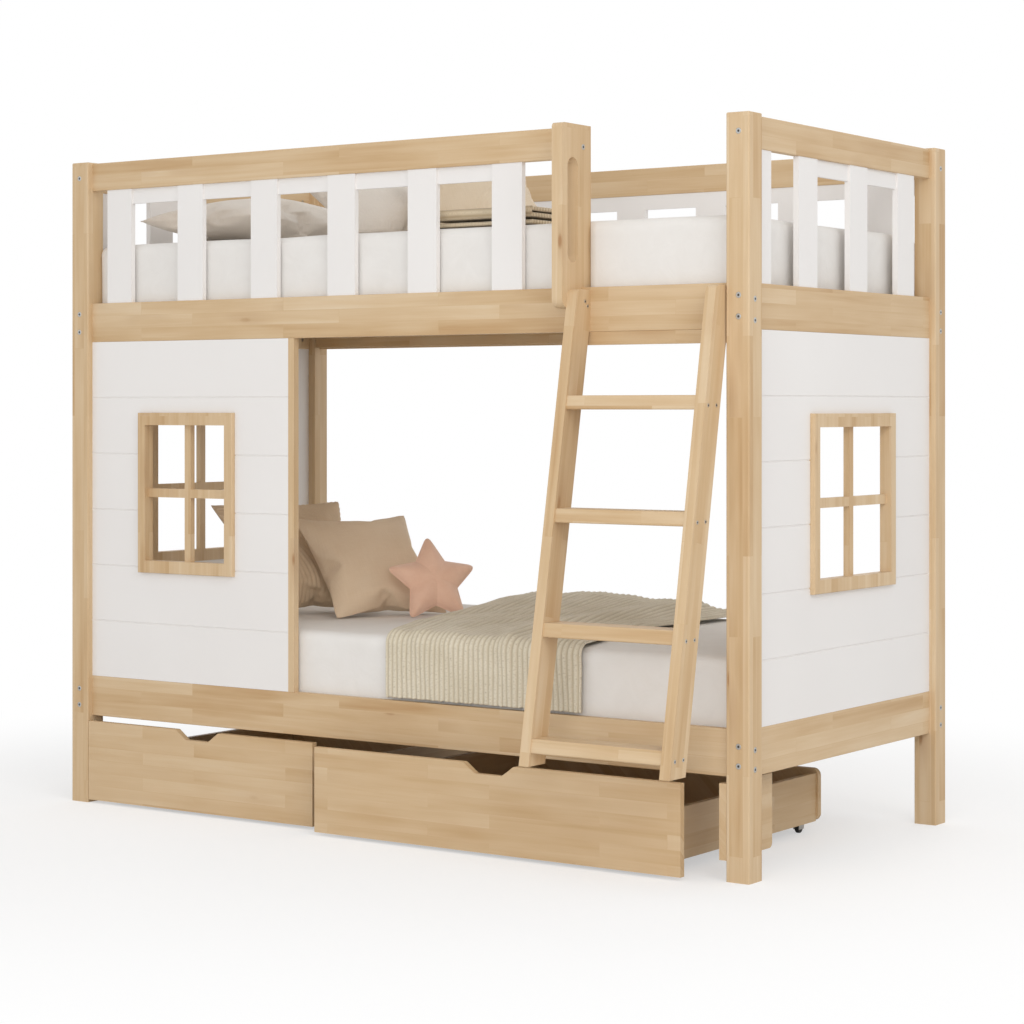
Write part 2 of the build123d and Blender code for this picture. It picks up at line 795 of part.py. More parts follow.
def make_drawer_back(left, width, pull):
    """Back board, taller than the sides and rounded at its top corners."""
    box_left, box_right, _, back = drawer_box(left, width, pull)
    centre = ((box_left + box_right) / 2, back, DRAWER_SIDE_Z)
    plane = Plane(centre, x_dir=(-1, 0, 0), z_dir=(0, 1, 0))
    with BuildPart() as board:
        with BuildSketch(plane) as outline:
            with Locations((0, DRAWER_BACK_H / 2)):
                Rectangle(box_right - box_left + 2 * DRAWER_BACK_OVERHANG, DRAWER_BACK_H)
            fillet(outline.vertices().group_by(Axis.Z)[-1], DRAWER_BACK_ROUND)
        extrude(amount=-DRAWER_BACK_T)
    return board


def make_drawer_bottom(left, width, pull):
    box_left, box_right, front, back = drawer_box(left, width, pull)
    inner = box_right - box_left - 2 * DRAWER_SIDE_T
    depth = back - DRAWER_BACK_T - front
    with BuildPart() as bottom:
        with BuildSketch(Plane.XY.offset(DRAWER_SIDE_Z + DRAWER_BOTTOM_RISE)):
            with Locations(((box_left + box_right) / 2, front + depth / 2)):
                Rectangle(inner, depth)
        extrude(amount=DRAWER_BOTTOM_T)
    return bottom


def caster_spots(left, width, pull):
    """X of the left and right casters, and Y of the front and rear axles."""
    box_left, box_right, front, back = drawer_box(left, width, pull)
    inset = DRAWER_SIDE_T + CASTER_INSET
    return (
        (box_left + inset, box_right - inset),
        {"front": front + CASTER_FRONT_INSET, "rear": back - CASTER_REAR_INSET},
    )


def make_brackets(left, width, pull):
    """Bent brackets under the drawer bottom, each with its axle pin."""
    xs, axles = caster_spots(left, width, pull)
    top = DRAWER_SIDE_Z + DRAWER_BOTTOM_RISE
    low = AXLE_Z - BRACKET_LEG_BELOW_AXLE
    inner = WHEEL_W + 2 * WHEEL_SIDE_GAP
    outer = inner + 2 * BRACKET_T
    with BuildPart() as bracket:
        with BuildSketch(Plane.XZ.offset(-BRACKET_LENGTH / 2)):
            with Locations((0, (low + top) / 2)):
                Rectangle(outer, top - low)
            with Locations((0, (low + top) / 2 - BRACKET_T)):
                Rectangle(inner, top - low, mode=Mode.SUBTRACT)
        extrude(amount=BRACKET_LENGTH)
        with BuildSketch(Plane.YZ.offset(-outer / 2)):
            with Locations((0, AXLE_Z)):
                Circle(AXLE_R)
        extrude(amount=outer)
    with BuildPart() as brackets:
        with Locations([(x, axle, 0) for x in xs for axle in axles.values()]):
            add(bracket.part)
    return brackets


def make_wheels(left, width, pull, end):
    xs, axles = caster_spots(left, width, pull)
    with BuildPart() as wheel:
        with BuildSketch(Plane.YZ.offset(-WHEEL_W / 2)):
            Circle(WHEEL_R)
            Circle(AXLE_R + AXLE_FIT, mode=Mode.SUBTRACT)
        extrude(amount=WHEEL_W)
        rims = wheel.edges().filter_by(GeomType.CIRCLE).group_by(SortBy.RADIUS)[-1]
        fillet(rims, WHEEL_ROUND)
    with BuildPart() as wheels:
        with Locations([(x, axles[end], AXLE_Z) for x in xs]):
            add(wheel.part)
    return wheels


def make_drawer_guide():
    """Board on the inner face of the front right post, beside the right drawer."""
    front = FRONT_Y + GUIDE_SETBACK
    with BuildPart() as guide:
        with BuildSketch(Plane.YZ.offset(INNER_X - GUIDE_T)) as outline:
            with Locations((front + GUIDE_DEPTH / 2, GUIDE_Z + GUIDE_H / 2)):
                Rectangle(GUIDE_DEPTH, GUIDE_H)
            fillet(outline.vertices().group_by(Axis.Y)[0].sort_by(Axis.X)[-1], GUIDE_ROUND)
        extrude(amount=GUIDE_T)
    return guide


# Bedding
def make_mattress(low):
    with BuildPart() as mattress:
        with BuildSketch(Plane.XY.offset(low)):
            with Locations((0, MID_Y)):
                RectangleRounded(MATTRESS_LENGTH, MATTRESS_W, MATTRESS_CORNER)
        extrude(amount=MATTRESS_T)
        fillet(mattress.faces().sort_by(Axis.Z)[-1].edges(), MATTRESS_EDGE)
        fillet(mattress.faces().sort_by(Axis.Z)[0].edges(), MATTRESS_EDGE / 2)
    return mattress


def make_upper_mattress():
    """The upper mattress is pressed in where the handle board stands against it."""
    mattress = make_mattress(UPPER_MATTRESS_Z)
    front = MID_Y - MATTRESS_W / 2
    dent = FRONT_Y + POST + SOFT_GAP - front
    low = UPPER_RAIL_TOP - SOFT_GAP
    with BuildPart() as dented:
        add(mattress.part)
        with BuildSketch(Plane.XY.offset(low)):
            with Locations((HANDLE_X + HANDLE_T / 2, front + dent / 2)):
                Rectangle(HANDLE_T + 2 * SOFT_GAP, dent)
        extrude(amount=UPPER_BED_TOP - low, mode=Mode.SUBTRACT)
    return dented


def cushion_section(plane, length, width, bow):
    """Outline with four bowed sides: negative bow draws them in between the corners."""
    half_l, half_w = length / 2, width / 2
    with BuildSketch(plane) as section:
        with BuildLine():
            ThreePointArc((-half_l, -half_w), (0, -half_w - bow), (half_l, -half_w))
            ThreePointArc((half_l, -half_w), (half_l + bow, 0), (half_l, half_w))
            ThreePointArc((half_l, half_w), (0, half_w + bow), (-half_l, half_w))
            ThreePointArc((-half_l, half_w), (-half_l - bow, 0), (-half_l, -half_w))
        make_face()
    return section


# Cushion sections: rise as a share of the half thickness, size and bow as shares of the outline
CROWN = (
    (-1.0, 0.46, 0.05),
    (-0.72, 0.78, 0.02),
    (0.0, 1.0, -0.03),
    (0.72, 0.78, 0.02),
    (1.0, 0.46, 0.05),
)


def make_cushion(length, width, thickness):
    """Crowned cushion with drawn-in sides, lying flat at the origin."""
    sections = []
    for rise, share, bow in CROWN:
        level = Plane.XY.offset(rise * thickness / 2)
        section = cushion_section(level, share * length, share * width, bow * width)
        sections.append(section.sketch)
    with BuildPart() as cushion:
        loft(sections)
    return cushion


# Star sections: rise as a share of the half thickness, size as a share of the outline
STAR_CROWN = ((-1.0, 0.55), (-0.6, 0.86), (0.0, 1.0), (0.6, 0.86), (1.0, 0.55))


def star_section(plane, share):
    with BuildSketch(plane) as section:
        with BuildLine():
            points = []
            for i in range(10):
                radius = share * (STAR_TIP_R if i % 2 == 0 else STAR_WAIST_R)
                angle = pi / 2 + i * pi / 5
                points.append((radius * cos(angle), radius * sin(angle)))
            Polyline(*points, close=True)
        make_face()
        fillet(section.vertices(), STAR_TIP_ROUND * share)
    return section


def make_star():
    """Five-pointed cushion, lying flat at the origin."""
    sections = [
        star_section(Plane.XY.offset(rise * STAR_T / 2), share).sketch
        for rise, share in STAR_CROWN
    ]
    with BuildPart() as star:
        loft(sections)
    return star


def lay(soft, centre, heading, recline, rest):
    """Turn a flat soft piece to a heading, tip it back and rest it on a height.

    Heading and recline are in degrees. With recline 90 the piece lies face up.
    """
    ahead, aside = cos(radians(heading)), sin(radians(heading))
    level, rise = cos(radians(recline)), sin(radians(recline))
    facing = Plane((0, 0, 0), x_dir=(-aside, ahead, 0), z_dir=(ahead * level, aside * level, rise))
    turned = facing.location * soft.part
    lift = rest + SOFT_GAP - turned.bounding_box().min.Z
    with BuildPart() as laid:
        add(Pos(centre[0], MID_Y + centre[1], lift) * turned)
    return laid


def fold_strip(plane, span, thickness, fold):
    """Closed strip with a straight back and a front of rounded folds."""
    left, right = span
    step = (right - left) / THROW_FOLDS
    crest = THROW_CREST * step
    with BuildSketch(plane) as section:
        with BuildLine():
            Polyline((left, thickness), (left, 0), (right, 0), (right, thickness))
            for i in range(THROW_FOLDS):
                start, top, end = left + i * step, left + i * step + crest, left + (i + 1) * step
                ThreePointArc(
                    (start, thickness), ((start + top) / 2, thickness + fold), (top, thickness)
                )
                ThreePointArc(
                    (top, thickness), ((top + end) / 2, thickness - fold / 4), (end, thickness)
                )
        make_face()
    return section


def make_throw():
    """Knitted throw: laid across the mattress, with its end hanging over the front."""
    front = MID_Y - MATTRESS_W / 2 - SOFT_GAP
    back = MID_Y + MATTRESS_W / 2 - THROW_BACK_EDGE
    top = LOWER_BED_TOP + SOFT_GAP
    flap, cover = [], []
    for level, fold in ((THROW_HEM_Z, THROW_FOLD / 2), (top + THROW_T, THROW_FOLD / 3)):
        hang = Plane((0, front, level), x_dir=(1, 0, 0), z_dir=(0, 0, -1))
        flap.append(fold_strip(hang, THROW_FRONT_X, THROW_T, fold).sketch)
    for y, span, thickness, fold in (
        (front - THROW_T / 2, THROW_FRONT_X, THROW_T, THROW_FOLD / 2),
        (MID_Y, THROW_MIDDLE_X, THROW_T * 1.5, THROW_FOLD),
        (back, THROW_BACK_X, THROW_BACK_HEAP, THROW_FOLD),
    ):
        station = Plane((0, y, top), x_dir=(1, 0, 0), z_dir=(0, -1, 0))
        cover.append(fold_strip(station, span, thickness, fold).sketch)
    with BuildPart() as throw:
        loft(flap)
        loft(cover)
    return throw


def make_folded_throw():
    """Throw folded into layers, lying on the upper mattress."""
    low = UPPER_BED_TOP + SOFT_GAP
    with BuildPart() as folded:
        with BuildSketch(Plane.YZ.offset(FOLDED_X)):
            for i in range(FOLDED_LAYERS):
                with Locations((FOLDED_Y, low + FOLDED_LAYER_T * (i + 0.5))):
                    SlotOverall(FOLDED_W, FOLDED_LAYER_T)
        extrude(amount=FOLDED_LENGTH)
    return folded


def build_frame():
    for name, end_x, end_y in (
        ("post_front_left", -1, -1),
        ("post_front_right", 1, -1),
        ("post_back_left", -1, 1),
        ("post_back_right", 1, 1),
    ):
        save(make_post(end_x, end_y), name)
    for level in LEVELS:
        for side in SIDES:
            save(make_rail(side, level), f"{level}_rail_{side}")
    save_set(make_frame_bolts() + [make_barrel_nuts()], "frame_bolts")


def build_guards():
    rows = slat_rows()
    for side, slats in rows.items():
        pieces = [make_guard_slats(side, slats), make_guard_strip(side, slats)]
        save_set(pieces, f"guard_slats_{side}")
    save(make_handle_board(), "guard_handle_board")


def build_ladder():
    left, right = stringer_lefts()
    save(make_stringer(left), "ladder_stringer_left")
    save(make_stringer(right), "ladder_stringer_right")
    save(make_rungs(), "ladder_rungs")
    save(make_ladder_cleat(), "ladder_cleat")
    save(make_ladder_screws(), "ladder_screws")


def build_walls():
    for side in panel_spans():
        save(make_wall_panel(side), f"wall_panel_{side}")
        save_set([make_window_frame(side)] + make_window_bars(side), f"window_frame_{side}")
    save(make_edge_strip(), "panel_edge_strip")


def build_bases():
    save(make_ledgers(), "slat_ledgers")
    save(make_bed_slats(LOWER_SLAT_Z), "bed_slats_lower")
    save(make_bed_slats(UPPER_SLAT_Z), "bed_slats_upper")


def build_drawers():
    for name, drawer in (
        ("left", (DRAWER_LEFT_X, DRAWER_LEFT_W, DRAWER_LEFT_PULL)),
        ("right", (DRAWER_RIGHT_X, DRAWER_RIGHT_W, DRAWER_RIGHT_PULL)),
    ):
        save(make_drawer_front(*drawer), f"drawer_{name}_front")
        save_set([make_drawer_sides(*drawer), make_drawer_back(*drawer)], f"drawer_{name}_box")
        save(make_drawer_bottom(*drawer), f"drawer_{name}_bottom")
        save(make_brackets(*drawer), f"drawer_{name}_brackets")
        for end in ("front", "rear"):
            save(make_wheels(*drawer, end), f"drawer_{name}_wheels_{end}")
    save(make_drawer_guide(), "drawer_guide")


def build_bedding():
    save(make_mattress(LOWER_MATTRESS_Z), "mattress_lower")
    save(make_upper_mattress(), "mattress_upper")
    linen = make_cushion(LINEN_SIZE, LINEN_SIZE, LINEN_T)
    save(lay(linen, LINEN_AT, LINEN_HEADING, LINEN_RECLINE, LOWER_BED_TOP), "cushion_linen")
    ribbed = make_cushion(RIBBED_SIZE, RIBBED_SIZE, RIBBED_T)
    save(lay(ribbed, RIBBED_AT, LINEN_HEADING, LINEN_RECLINE, LOWER_BED_TOP), "cushion_ribbed")
    save(lay(make_star(), STAR_AT, STAR_HEADING, STAR_RECLINE, LOWER_BED_TOP), "cushion_star")
    save(make_throw(), "throw_knit")
    pillow = make_cushion(PILLOW_LENGTH, PILLOW_W, PILLOW_T)
    save(lay(pillow, PILLOW_AT, 0, 90, UPPER_BED_TOP), "pillow_upper")
    fan = make_cushion(FAN_SIZE, FAN_SIZE, FAN_T)
    save(lay(fan, FAN_AT, FAN_HEADING, FAN_RECLINE, UPPER_BED_TOP), "cushion_fan")
    arc = make_cushion(ARC_SIZE, ARC_SIZE, ARC_T)
    save(lay(arc, ARC_AT, ARC_HEADING, ARC_RECLINE, UPPER_BED_TOP), "cushion_arc")
    save(make_folded_throw(), "throw_folded")


os.makedirs("parts", exist_ok=True)
build_frame()
build_guards()
build_ladder()
build_walls()
build_bases()
build_drawers()
build_bedding()
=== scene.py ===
import math

import bmesh
import bpy
from mathutils import Matrix, Vector, noise


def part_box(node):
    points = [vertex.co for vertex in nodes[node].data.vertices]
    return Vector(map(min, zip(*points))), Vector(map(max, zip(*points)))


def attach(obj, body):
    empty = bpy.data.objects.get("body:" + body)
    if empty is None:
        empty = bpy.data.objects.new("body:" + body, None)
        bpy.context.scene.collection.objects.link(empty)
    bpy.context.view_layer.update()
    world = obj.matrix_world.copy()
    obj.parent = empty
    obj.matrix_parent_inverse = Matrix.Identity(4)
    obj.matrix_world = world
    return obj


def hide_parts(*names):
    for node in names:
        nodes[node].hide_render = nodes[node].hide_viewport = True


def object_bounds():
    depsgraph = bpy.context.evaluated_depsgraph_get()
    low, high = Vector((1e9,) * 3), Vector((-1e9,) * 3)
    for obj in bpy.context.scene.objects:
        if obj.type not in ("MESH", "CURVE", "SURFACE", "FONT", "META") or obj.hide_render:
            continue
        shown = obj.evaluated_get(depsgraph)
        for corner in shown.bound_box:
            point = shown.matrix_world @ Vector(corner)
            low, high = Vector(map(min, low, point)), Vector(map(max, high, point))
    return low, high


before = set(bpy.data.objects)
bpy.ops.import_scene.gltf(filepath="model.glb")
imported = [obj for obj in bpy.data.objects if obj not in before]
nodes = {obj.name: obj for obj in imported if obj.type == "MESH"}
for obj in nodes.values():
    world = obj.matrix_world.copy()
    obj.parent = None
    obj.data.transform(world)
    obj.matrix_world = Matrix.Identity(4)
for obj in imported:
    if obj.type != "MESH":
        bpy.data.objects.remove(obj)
cad_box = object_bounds()
scene = bpy.context.scene

# Camera, measured from the photograph: metres, degrees and pixels of a 1024 pixel frame
CAMERA_AT = (3.6238, -5.0223, 1.0163)
CAMERA_AZIMUTH = 34.853
FOCAL_PX = 2493.03
IMAGE_PX = 1024
HORIZON_PX = 407.97
SENSOR_MM = 36.0

# Light
WORLD_STRENGTH = 0.74
KEY_AT = (5.2, -3.2, 4.2)
KEY_SIZE = 3.4
KEY_WATTS = 90.0
FILL_AT = (2.8, -5.9, 1.6)
FILL_SIZE = 2.4
FILL_WATTS = 75.0
BACK_AT = (-0.5, 5.5, 3.6)
BACK_SIZE = 2.4
BACK_WATTS = 35.0
FLOOR_HALF = 30.0
FLOOR_FADE_START = 1.35
FLOOR_FADE_END = 2.6
FLOOR_GLOW = 0.5

# Bedding poses in degrees, as the solids stand
LINEN_HEADING, LINEN_RECLINE = -21.9, 42.8
STAR_HEADING, STAR_RECLINE = -36.5, 25.0
FAN_HEADING, FAN_RECLINE = -20.0, 62.0
ARC_HEADING, ARC_RECLINE = -40.0, 58.0

# Soft pieces in metres
LINEN_SIZE, LINEN_T = 0.330, 0.108
RIBBED_SIZE, RIBBED_T = 0.378, 0.102
FAN_SIZE, FAN_T = 0.358, 0.104
ARC_SIZE, ARC_T = 0.328, 0.096
PILLOW_LENGTH, PILLOW_W, PILLOW_T = 0.598, 0.388, 0.136
STAR_TIP_R, STAR_WAIST_R, STAR_T = 0.127, 0.066, 0.064
PUFF_CELL = 0.012
PUFF_FRAMES = 24
COVER_GAP = 0.002
PIPING_R = 0.0022
THIN_PIPING_R = 0.0018
PILLOW_PIPING_R = 0.0016
STAR_SEAM_R = 0.0016

# Mattresses under their sheets
SHEET_CELL = 0.014
SHEET_ROUND = 0.026
SIDE_FOLD_DEPTH = 0.0042
TOP_FOLD_DEPTH = 0.0065
PRESS_MARGIN = 0.010
PRESS_GAP = 0.0012

# Sockets of the bolts and screws
BOLT_SOCKET_R = 0.0030
SCREW_SOCKET_R = 0.0021
SOCKET_RISE = 0.00015
SOCKET_RINGS = ((0.0, 1.0), (1.0, 1.0), (1.0, 0.82), (0.2, 0.74))
SHORTEST_BOLT = 0.03
END_FACE_DEPTH = 2e-4
SHANK_SPREAD = 1.1e-5


def rgb(red, green, blue):
    """Linear colour from 8 bit screen values."""
    linear = []
    for value in (red, green, blue):
        share = value / 255
        low = share / 12.92
        high = ((share + 0.055) / 1.055) ** 2.4
        linear.append(low if share <= 0.04045 else high)
    return (*linear, 1.0)


class Look:
    """A Principled material and short calls for the nodes that feed it."""

    def __init__(self, name):
        self.material = bpy.data.materials.new(name)
        self.material.use_nodes = True
        self.tree = self.material.node_tree
        self.shader = self.tree.nodes["Principled BSDF"]

    def node(self, kind, inputs=None, **settings):
        made = self.tree.nodes.new(kind)
        for key, value in settings.items():
            setattr(made, key, value)
        for key, value in (inputs or {}).items():
            self.put(made.inputs[key], value)
        return made

    def put(self, socket, value):
        if isinstance(value, bpy.types.NodeSocket):
            self.tree.links.new(value, socket)
        else:
            socket.default_value = value

    def math(self, operation, first, second=0.0, clamp=False):
        made = self.node("ShaderNodeMath", operation=operation, use_clamp=clamp)
        self.put(made.inputs[0], first)
        self.put(made.inputs[1], second)
        return made.outputs[0]

    def plus(self, first, second, clamp=False):
        return self.math("ADD", first, second, clamp)

    def times(self, first, second, clamp=False):
        return self.math("MULTIPLY", first, second, clamp)

    def about_middle(self, value, factor):
        """A value from 0 to 1 as its distance from a half, times a factor."""
        return self.times(self.math("SUBTRACT", value, 0.5), factor)

    def remap(self, value, low, high, at_low, at_high):
        inputs = {"Value": value, "From Min": low, "From Max": high}
        inputs.update({"To Min": at_low, "To Max": at_high})
        return self.node("ShaderNodeMapRange", inputs).outputs[0]

    def mix(self, share, first, second):
        made = self.node("ShaderNodeMix", data_type="RGBA")
        self.put(made.inputs[0], share)
        self.put(made.inputs[6], first)
        self.put(made.inputs[7], second)
        return made.outputs[2]

    def ramp(self, value, stops):
        made = self.node("ShaderNodeValToRGB", {"Fac": value})
        elements = made.color_ramp.elements
        while len(elements) < len(stops):
            elements.new(0.5)
        for element, (place, colour) in zip(elements, stops):
            element.position = place
            element.color = colour
        return made.outputs["Color"]

    def vector(self, x, y, z=0.0):
        made = self.node("ShaderNodeCombineXYZ")
        for socket, value in zip(made.inputs, (x, y, z)):
            self.put(socket, value)
        return made.outputs[0]

    def stretched(self, x, y, scales, z=0.0):
        """A vector whose first two axes are scaled one by one."""
        return self.vector(self.times(x, scales[0]), self.times(y, scales[1]), z)

    def split(self, vector):
        return self.node("ShaderNodeSeparateXYZ", {"Vector": vector}).outputs

    def place(self):
        """Place on the object, in metres."""
        return self.node("ShaderNodeTexCoord").outputs["Object"]

    def noise(self, vector, scale, detail=3.0, roughness=0.5, distortion=0.0):
        inputs = {"Vector": vector, "Scale": scale, "Detail": detail}
        inputs.update({"Roughness": roughness, "Distortion": distortion})
        return self.node("ShaderNodeTexNoise", inputs).outputs["Fac"]

    def bump(self, height, distance, strength=1.0, normal=None):
        inputs = {"Height": height, "Distance": distance, "Strength": strength}
        made = self.node("ShaderNodeBump", inputs)
        if normal is not None:
            self.put(made.inputs["Normal"], normal)
        return made.outputs["Normal"]

    def cloth_xyz(self):
        """Flat cloth coordinates of a soft piece, in metres."""
        flat = self.node("ShaderNodeAttribute", attribute_name="cloth").outputs["Vector"]
        return self.split(flat)

    def surface(self, specular, sheen=0.0, sheen_roughness=0.5):
        self.put(self.shader.inputs["Specular IOR Level"], specular)
        self.put(self.shader.inputs["Sheen Weight"], sheen)
        self.put(self.shader.inputs["Sheen Roughness"], sheen_roughness)

    def finish(self, colour, roughness, normal):
        self.put(self.shader.inputs["Base Color"], colour)
        self.put(self.shader.inputs["Roughness"], roughness)
        self.put(self.shader.inputs["Normal"], normal)
        return self.material


# Wood: staves glued side by side and end to end, with streaks, small knots and node marks
STAVE_W = 0.033
STAVE_LENGTH = 0.47
WOOD_STOPS = (
    (0.10, rgb(188, 150, 105)),
    (0.42, rgb(206, 176, 136)),
    (0.70, rgb(216, 190, 154)),
    (0.95, rgb(223, 202, 172)),
)
KNOT_COLOUR = rgb(160, 112, 66)
FIBRE_COLOUR = rgb(196, 156, 108)

# Noise scales along and across a grain or a thread
STREAK_SCALES = (1.6, 42.0)
FIBRE_SCALES = (9.0, 420.0)
CLOUD_SCALES = (3.0, 9.0)
KNOT_SCALES = (3.1, 9.0)
SLUB_SCALES = (22.0, 420.0)
YARN_SCALES = (300.0, 160.0)

# A wave texture of scale 1 has a band every 0.314 m
WAVE_PERIOD = 0.314


def wood(name, axis, lean=0.0, seed=0.0, knots=0.8, contrast=1.0):
    """Laminated pale wood. Axis is the way of the grain, and lean tips it about X."""
    look = Look(name)
    turn = {"Vector": look.place(), "Rotation": (math.radians(lean), 0.0, 0.0)}
    axes = look.split(look.node("ShaderNodeMapping", turn).outputs["Vector"])
    grain = "XYZ".index(axis)
    others = [axes[i] for i in range(3) if i != grain]
    along = look.plus(axes[grain], seed)
    across = look.plus(look.plus(*others), 3.0 + seed)
    bricks = {
        "Vector": look.vector(along, across),
        "Color1": (0, 0, 0, 1),
        "Color2": (1, 1, 1, 1),
        "Mortar": (0.22, 0.22, 0.22, 1),
        "Scale": 1.0,
        "Mortar Size": 0.0004,
        "Mortar Smooth": 0.3,
        "Brick Width": STAVE_LENGTH,
        "Row Height": STAVE_W,
    }
    stave = look.node("ShaderNodeTexBrick", bricks, offset=0.37, offset_frequency=2)
    tint = look.node("ShaderNodeSeparateColor", {"Color": stave.outputs["Color"]}).outputs[0]
    shift = look.times(tint, 9.0)
    run = look.plus(along, shift)
    streaks = look.noise(look.stretched(run, across, STREAK_SCALES, shift), 1.0, 5.0, 0.62, 0.5)
    fibres = look.noise(look.stretched(run, across, FIBRE_SCALES), 1.0, 3.0, 0.6)
    cloud = look.noise(look.stretched(run, across, CLOUD_SCALES), 1.0, 2.0)
    cells = {"Vector": look.stretched(run, across, KNOT_SCALES), "Scale": 1.0}
    spots = look.node("ShaderNodeTexVoronoi", cells).outputs["Distance"]
    core = look.remap(spots, 0.03, 0.085, 1.0, 0.0)
    halo = look.remap(spots, 0.04, 0.30, 0.42, 0.0)
    rare = look.remap(cloud, 0.44, 0.56, 0.0, 1.0)
    knot = look.times(look.times(look.math("MAXIMUM", core, halo), rare), knots, True)
    tone = look.plus(look.times(tint, 0.30 * contrast), look.times(streaks, 0.85 * contrast))
    tone = look.plus(tone, look.about_middle(cloud, 0.7))
    tone = look.plus(tone, 0.52 - 0.575 * contrast, True)
    fine = look.math("ABSOLUTE", look.about_middle(fibres, 0.5))
    colour = look.mix(fine, look.ramp(tone, WOOD_STOPS), FIBRE_COLOUR)
    colour = look.mix(knot, colour, KNOT_COLOUR)
    height = look.plus(look.times(streaks, 0.6), look.times(fibres, 0.4))
    roughness = look.plus(look.times(streaks, 0.16), 0.40)
    look.surface(specular=0.38)
    return look.finish(colour, roughness, look.bump(height, 0.0004, 0.5))


def paint(name):
    """Satin white paint with the faint unevenness of a roller."""
    look = Look(name)
    place = look.place()
    clouds = look.noise(place, 2.4, 2.0)
    roller = look.noise(place, 320.0, 2.0)
    colour = look.mix(clouds, rgb(233, 229, 226), rgb(240, 237, 234))
    roughness = look.plus(look.times(roller, 0.12), 0.36)
    look.surface(specular=0.35)
    return look.finish(colour, roughness, look.bump(roller, 0.00015, 0.35))


def steel(name, colour, roughness):
    """Metal with a fine grain."""
    look = Look(name)
    grains = look.noise(look.place(), 900.0, 2.0)
    shade = look.mix(grains, colour, tuple(0.8 * c for c in colour[:3]) + (1.0,))
    look.put(look.shader.inputs["Metallic"], 1.0)
    rough = look.plus(look.times(grains, 0.15), roughness)
    return look.finish(shade, rough, look.bump(grains, 0.00005, 0.3))


def nylon(name):
    """Black moulded plastic with a fine grain."""
    look = Look(name)
    grains = look.noise(look.place(), 600.0, 2.0)
    colour = look.mix(grains, rgb(34, 33, 32), rgb(52, 50, 48))
    return look.finish(colour, 0.5, look.bump(grains, 0.0001, 0.4))


def woven(name, light, dark, thread, depth, fuzz):
    """Plain weave in the cloth's own flat coordinates, with slubs and soft mottling."""
    look = Look(name)
    x, y, z = look.cloth_xyz()
    flat = look.vector(x, y, z)
    bands = {"Vector": flat, "Scale": WAVE_PERIOD / thread}
    bands.update({"Distortion": 1.2, "Detail": 2.0, "Detail Scale": 2.0})
    warp, weft = [
        look.node("ShaderNodeTexWave", bands, wave_type="BANDS", bands_direction=way).outputs["Fac"]
        for way in ("X", "Y")
    ]
    slub_x = look.noise(look.stretched(x, y, SLUB_SCALES), 1.0, 2.0)
    slub_y = look.noise(look.stretched(x, y, SLUB_SCALES[::-1]), 1.0, 2.0)
    slubs = look.times(look.plus(slub_x, slub_y), 0.5)
    clouds = look.noise(flat, 9.0, 3.0)
    weave = look.times(look.plus(warp, weft), 0.5)
    tone = look.plus(look.times(weave, 0.30), look.times(slubs, 0.62))
    tone = look.plus(tone, look.about_middle(clouds, 0.5), True)
    look.surface(specular=0.15, sheen=fuzz)
    return look.finish(look.mix(tone, dark, light), 0.9, look.bump(look.plus(weave, slubs), depth, 0.7))


def sheeting(name):
    """Smooth cotton sheet: the folds are in the mesh, only the finest are in the bump, and their
    hollows are painted a little darker as shade.
    """
    look = Look(name)
    place = look.place()
    crease_height_and_shade = look.noise(place, 16.0, 4.0, 0.6, 0.8)
    threads = look.noise(place, 900.0, 1.0)
    # Painted shade: the sheet is darker where the crease bump is low, in the hollows of the fine
    # creases.
    colour = look.mix(crease_height_and_shade, rgb(228, 224, 219), rgb(237, 234, 230))
    look.surface(specular=0.12, sheen=0.08)
    fine = look.bump(threads, 0.0001, 0.3)
    return look.finish(colour, 0.88, look.bump(crease_height_and_shade, 0.004, 0.35, fine))


def plush(name):
    """Short pile: soft speckle, fine bump and a strong sheen."""
    look = Look(name)
    flat = look.vector(*look.cloth_xyz())
    pile = look.noise(flat, 420.0, 3.0, 0.7)
    naps = look.noise(flat, 26.0, 3.0, 0.6, 0.6)
    shade = look.plus(look.times(pile, 0.45), look.times(naps, 0.6), True)
    colour = look.mix(shade, rgb(230, 180, 152), rgb(250, 214, 190))
    look.surface(specular=0.1, sheen=0.35, sheen_roughness=0.6)
    height = look.plus(look.times(pile, 0.6), look.times(naps, 0.8))
    return look.finish(colour, 0.95, look.bump(height, 0.0016, 0.6))


def knitted(name, light, dark):
    """Chunky wool: flecked yarn, with painted shade that darkens it between the ribs, which are in the
    mesh.
    """
    look = Look(name)
    x, y, crest = look.cloth_xyz()
    flat = look.vector(x, y)
    flecks = look.noise(flat, 260.0, 3.0, 0.7)
    yarn = look.noise(look.stretched(x, y, YARN_SCALES), 1.0, 3.0, 0.65)
    clouds = look.noise(flat, 7.0, 2.0)
    # Painted shade: the dark colour is mixed in where the rib's crest is low, between the ribs.
    painted_rib_shade = look.times(look.math("SUBTRACT", 1.0, crest, True), 0.75)
    dots = look.remap(flecks, 0.50, 0.68, 0.0, 0.55)
    base = look.mix(clouds, light, rgb(206, 195, 170))
    # The dark colour serves both the real flecks and the painted shade between the ribs.
    colour = look.mix(look.math("MAXIMUM", painted_rib_shade, dots), base, dark)
    look.surface(specular=0.1, sheen=0.2)
    return look.finish(colour, 0.95, look.bump(yarn, 0.0022, 0.7))


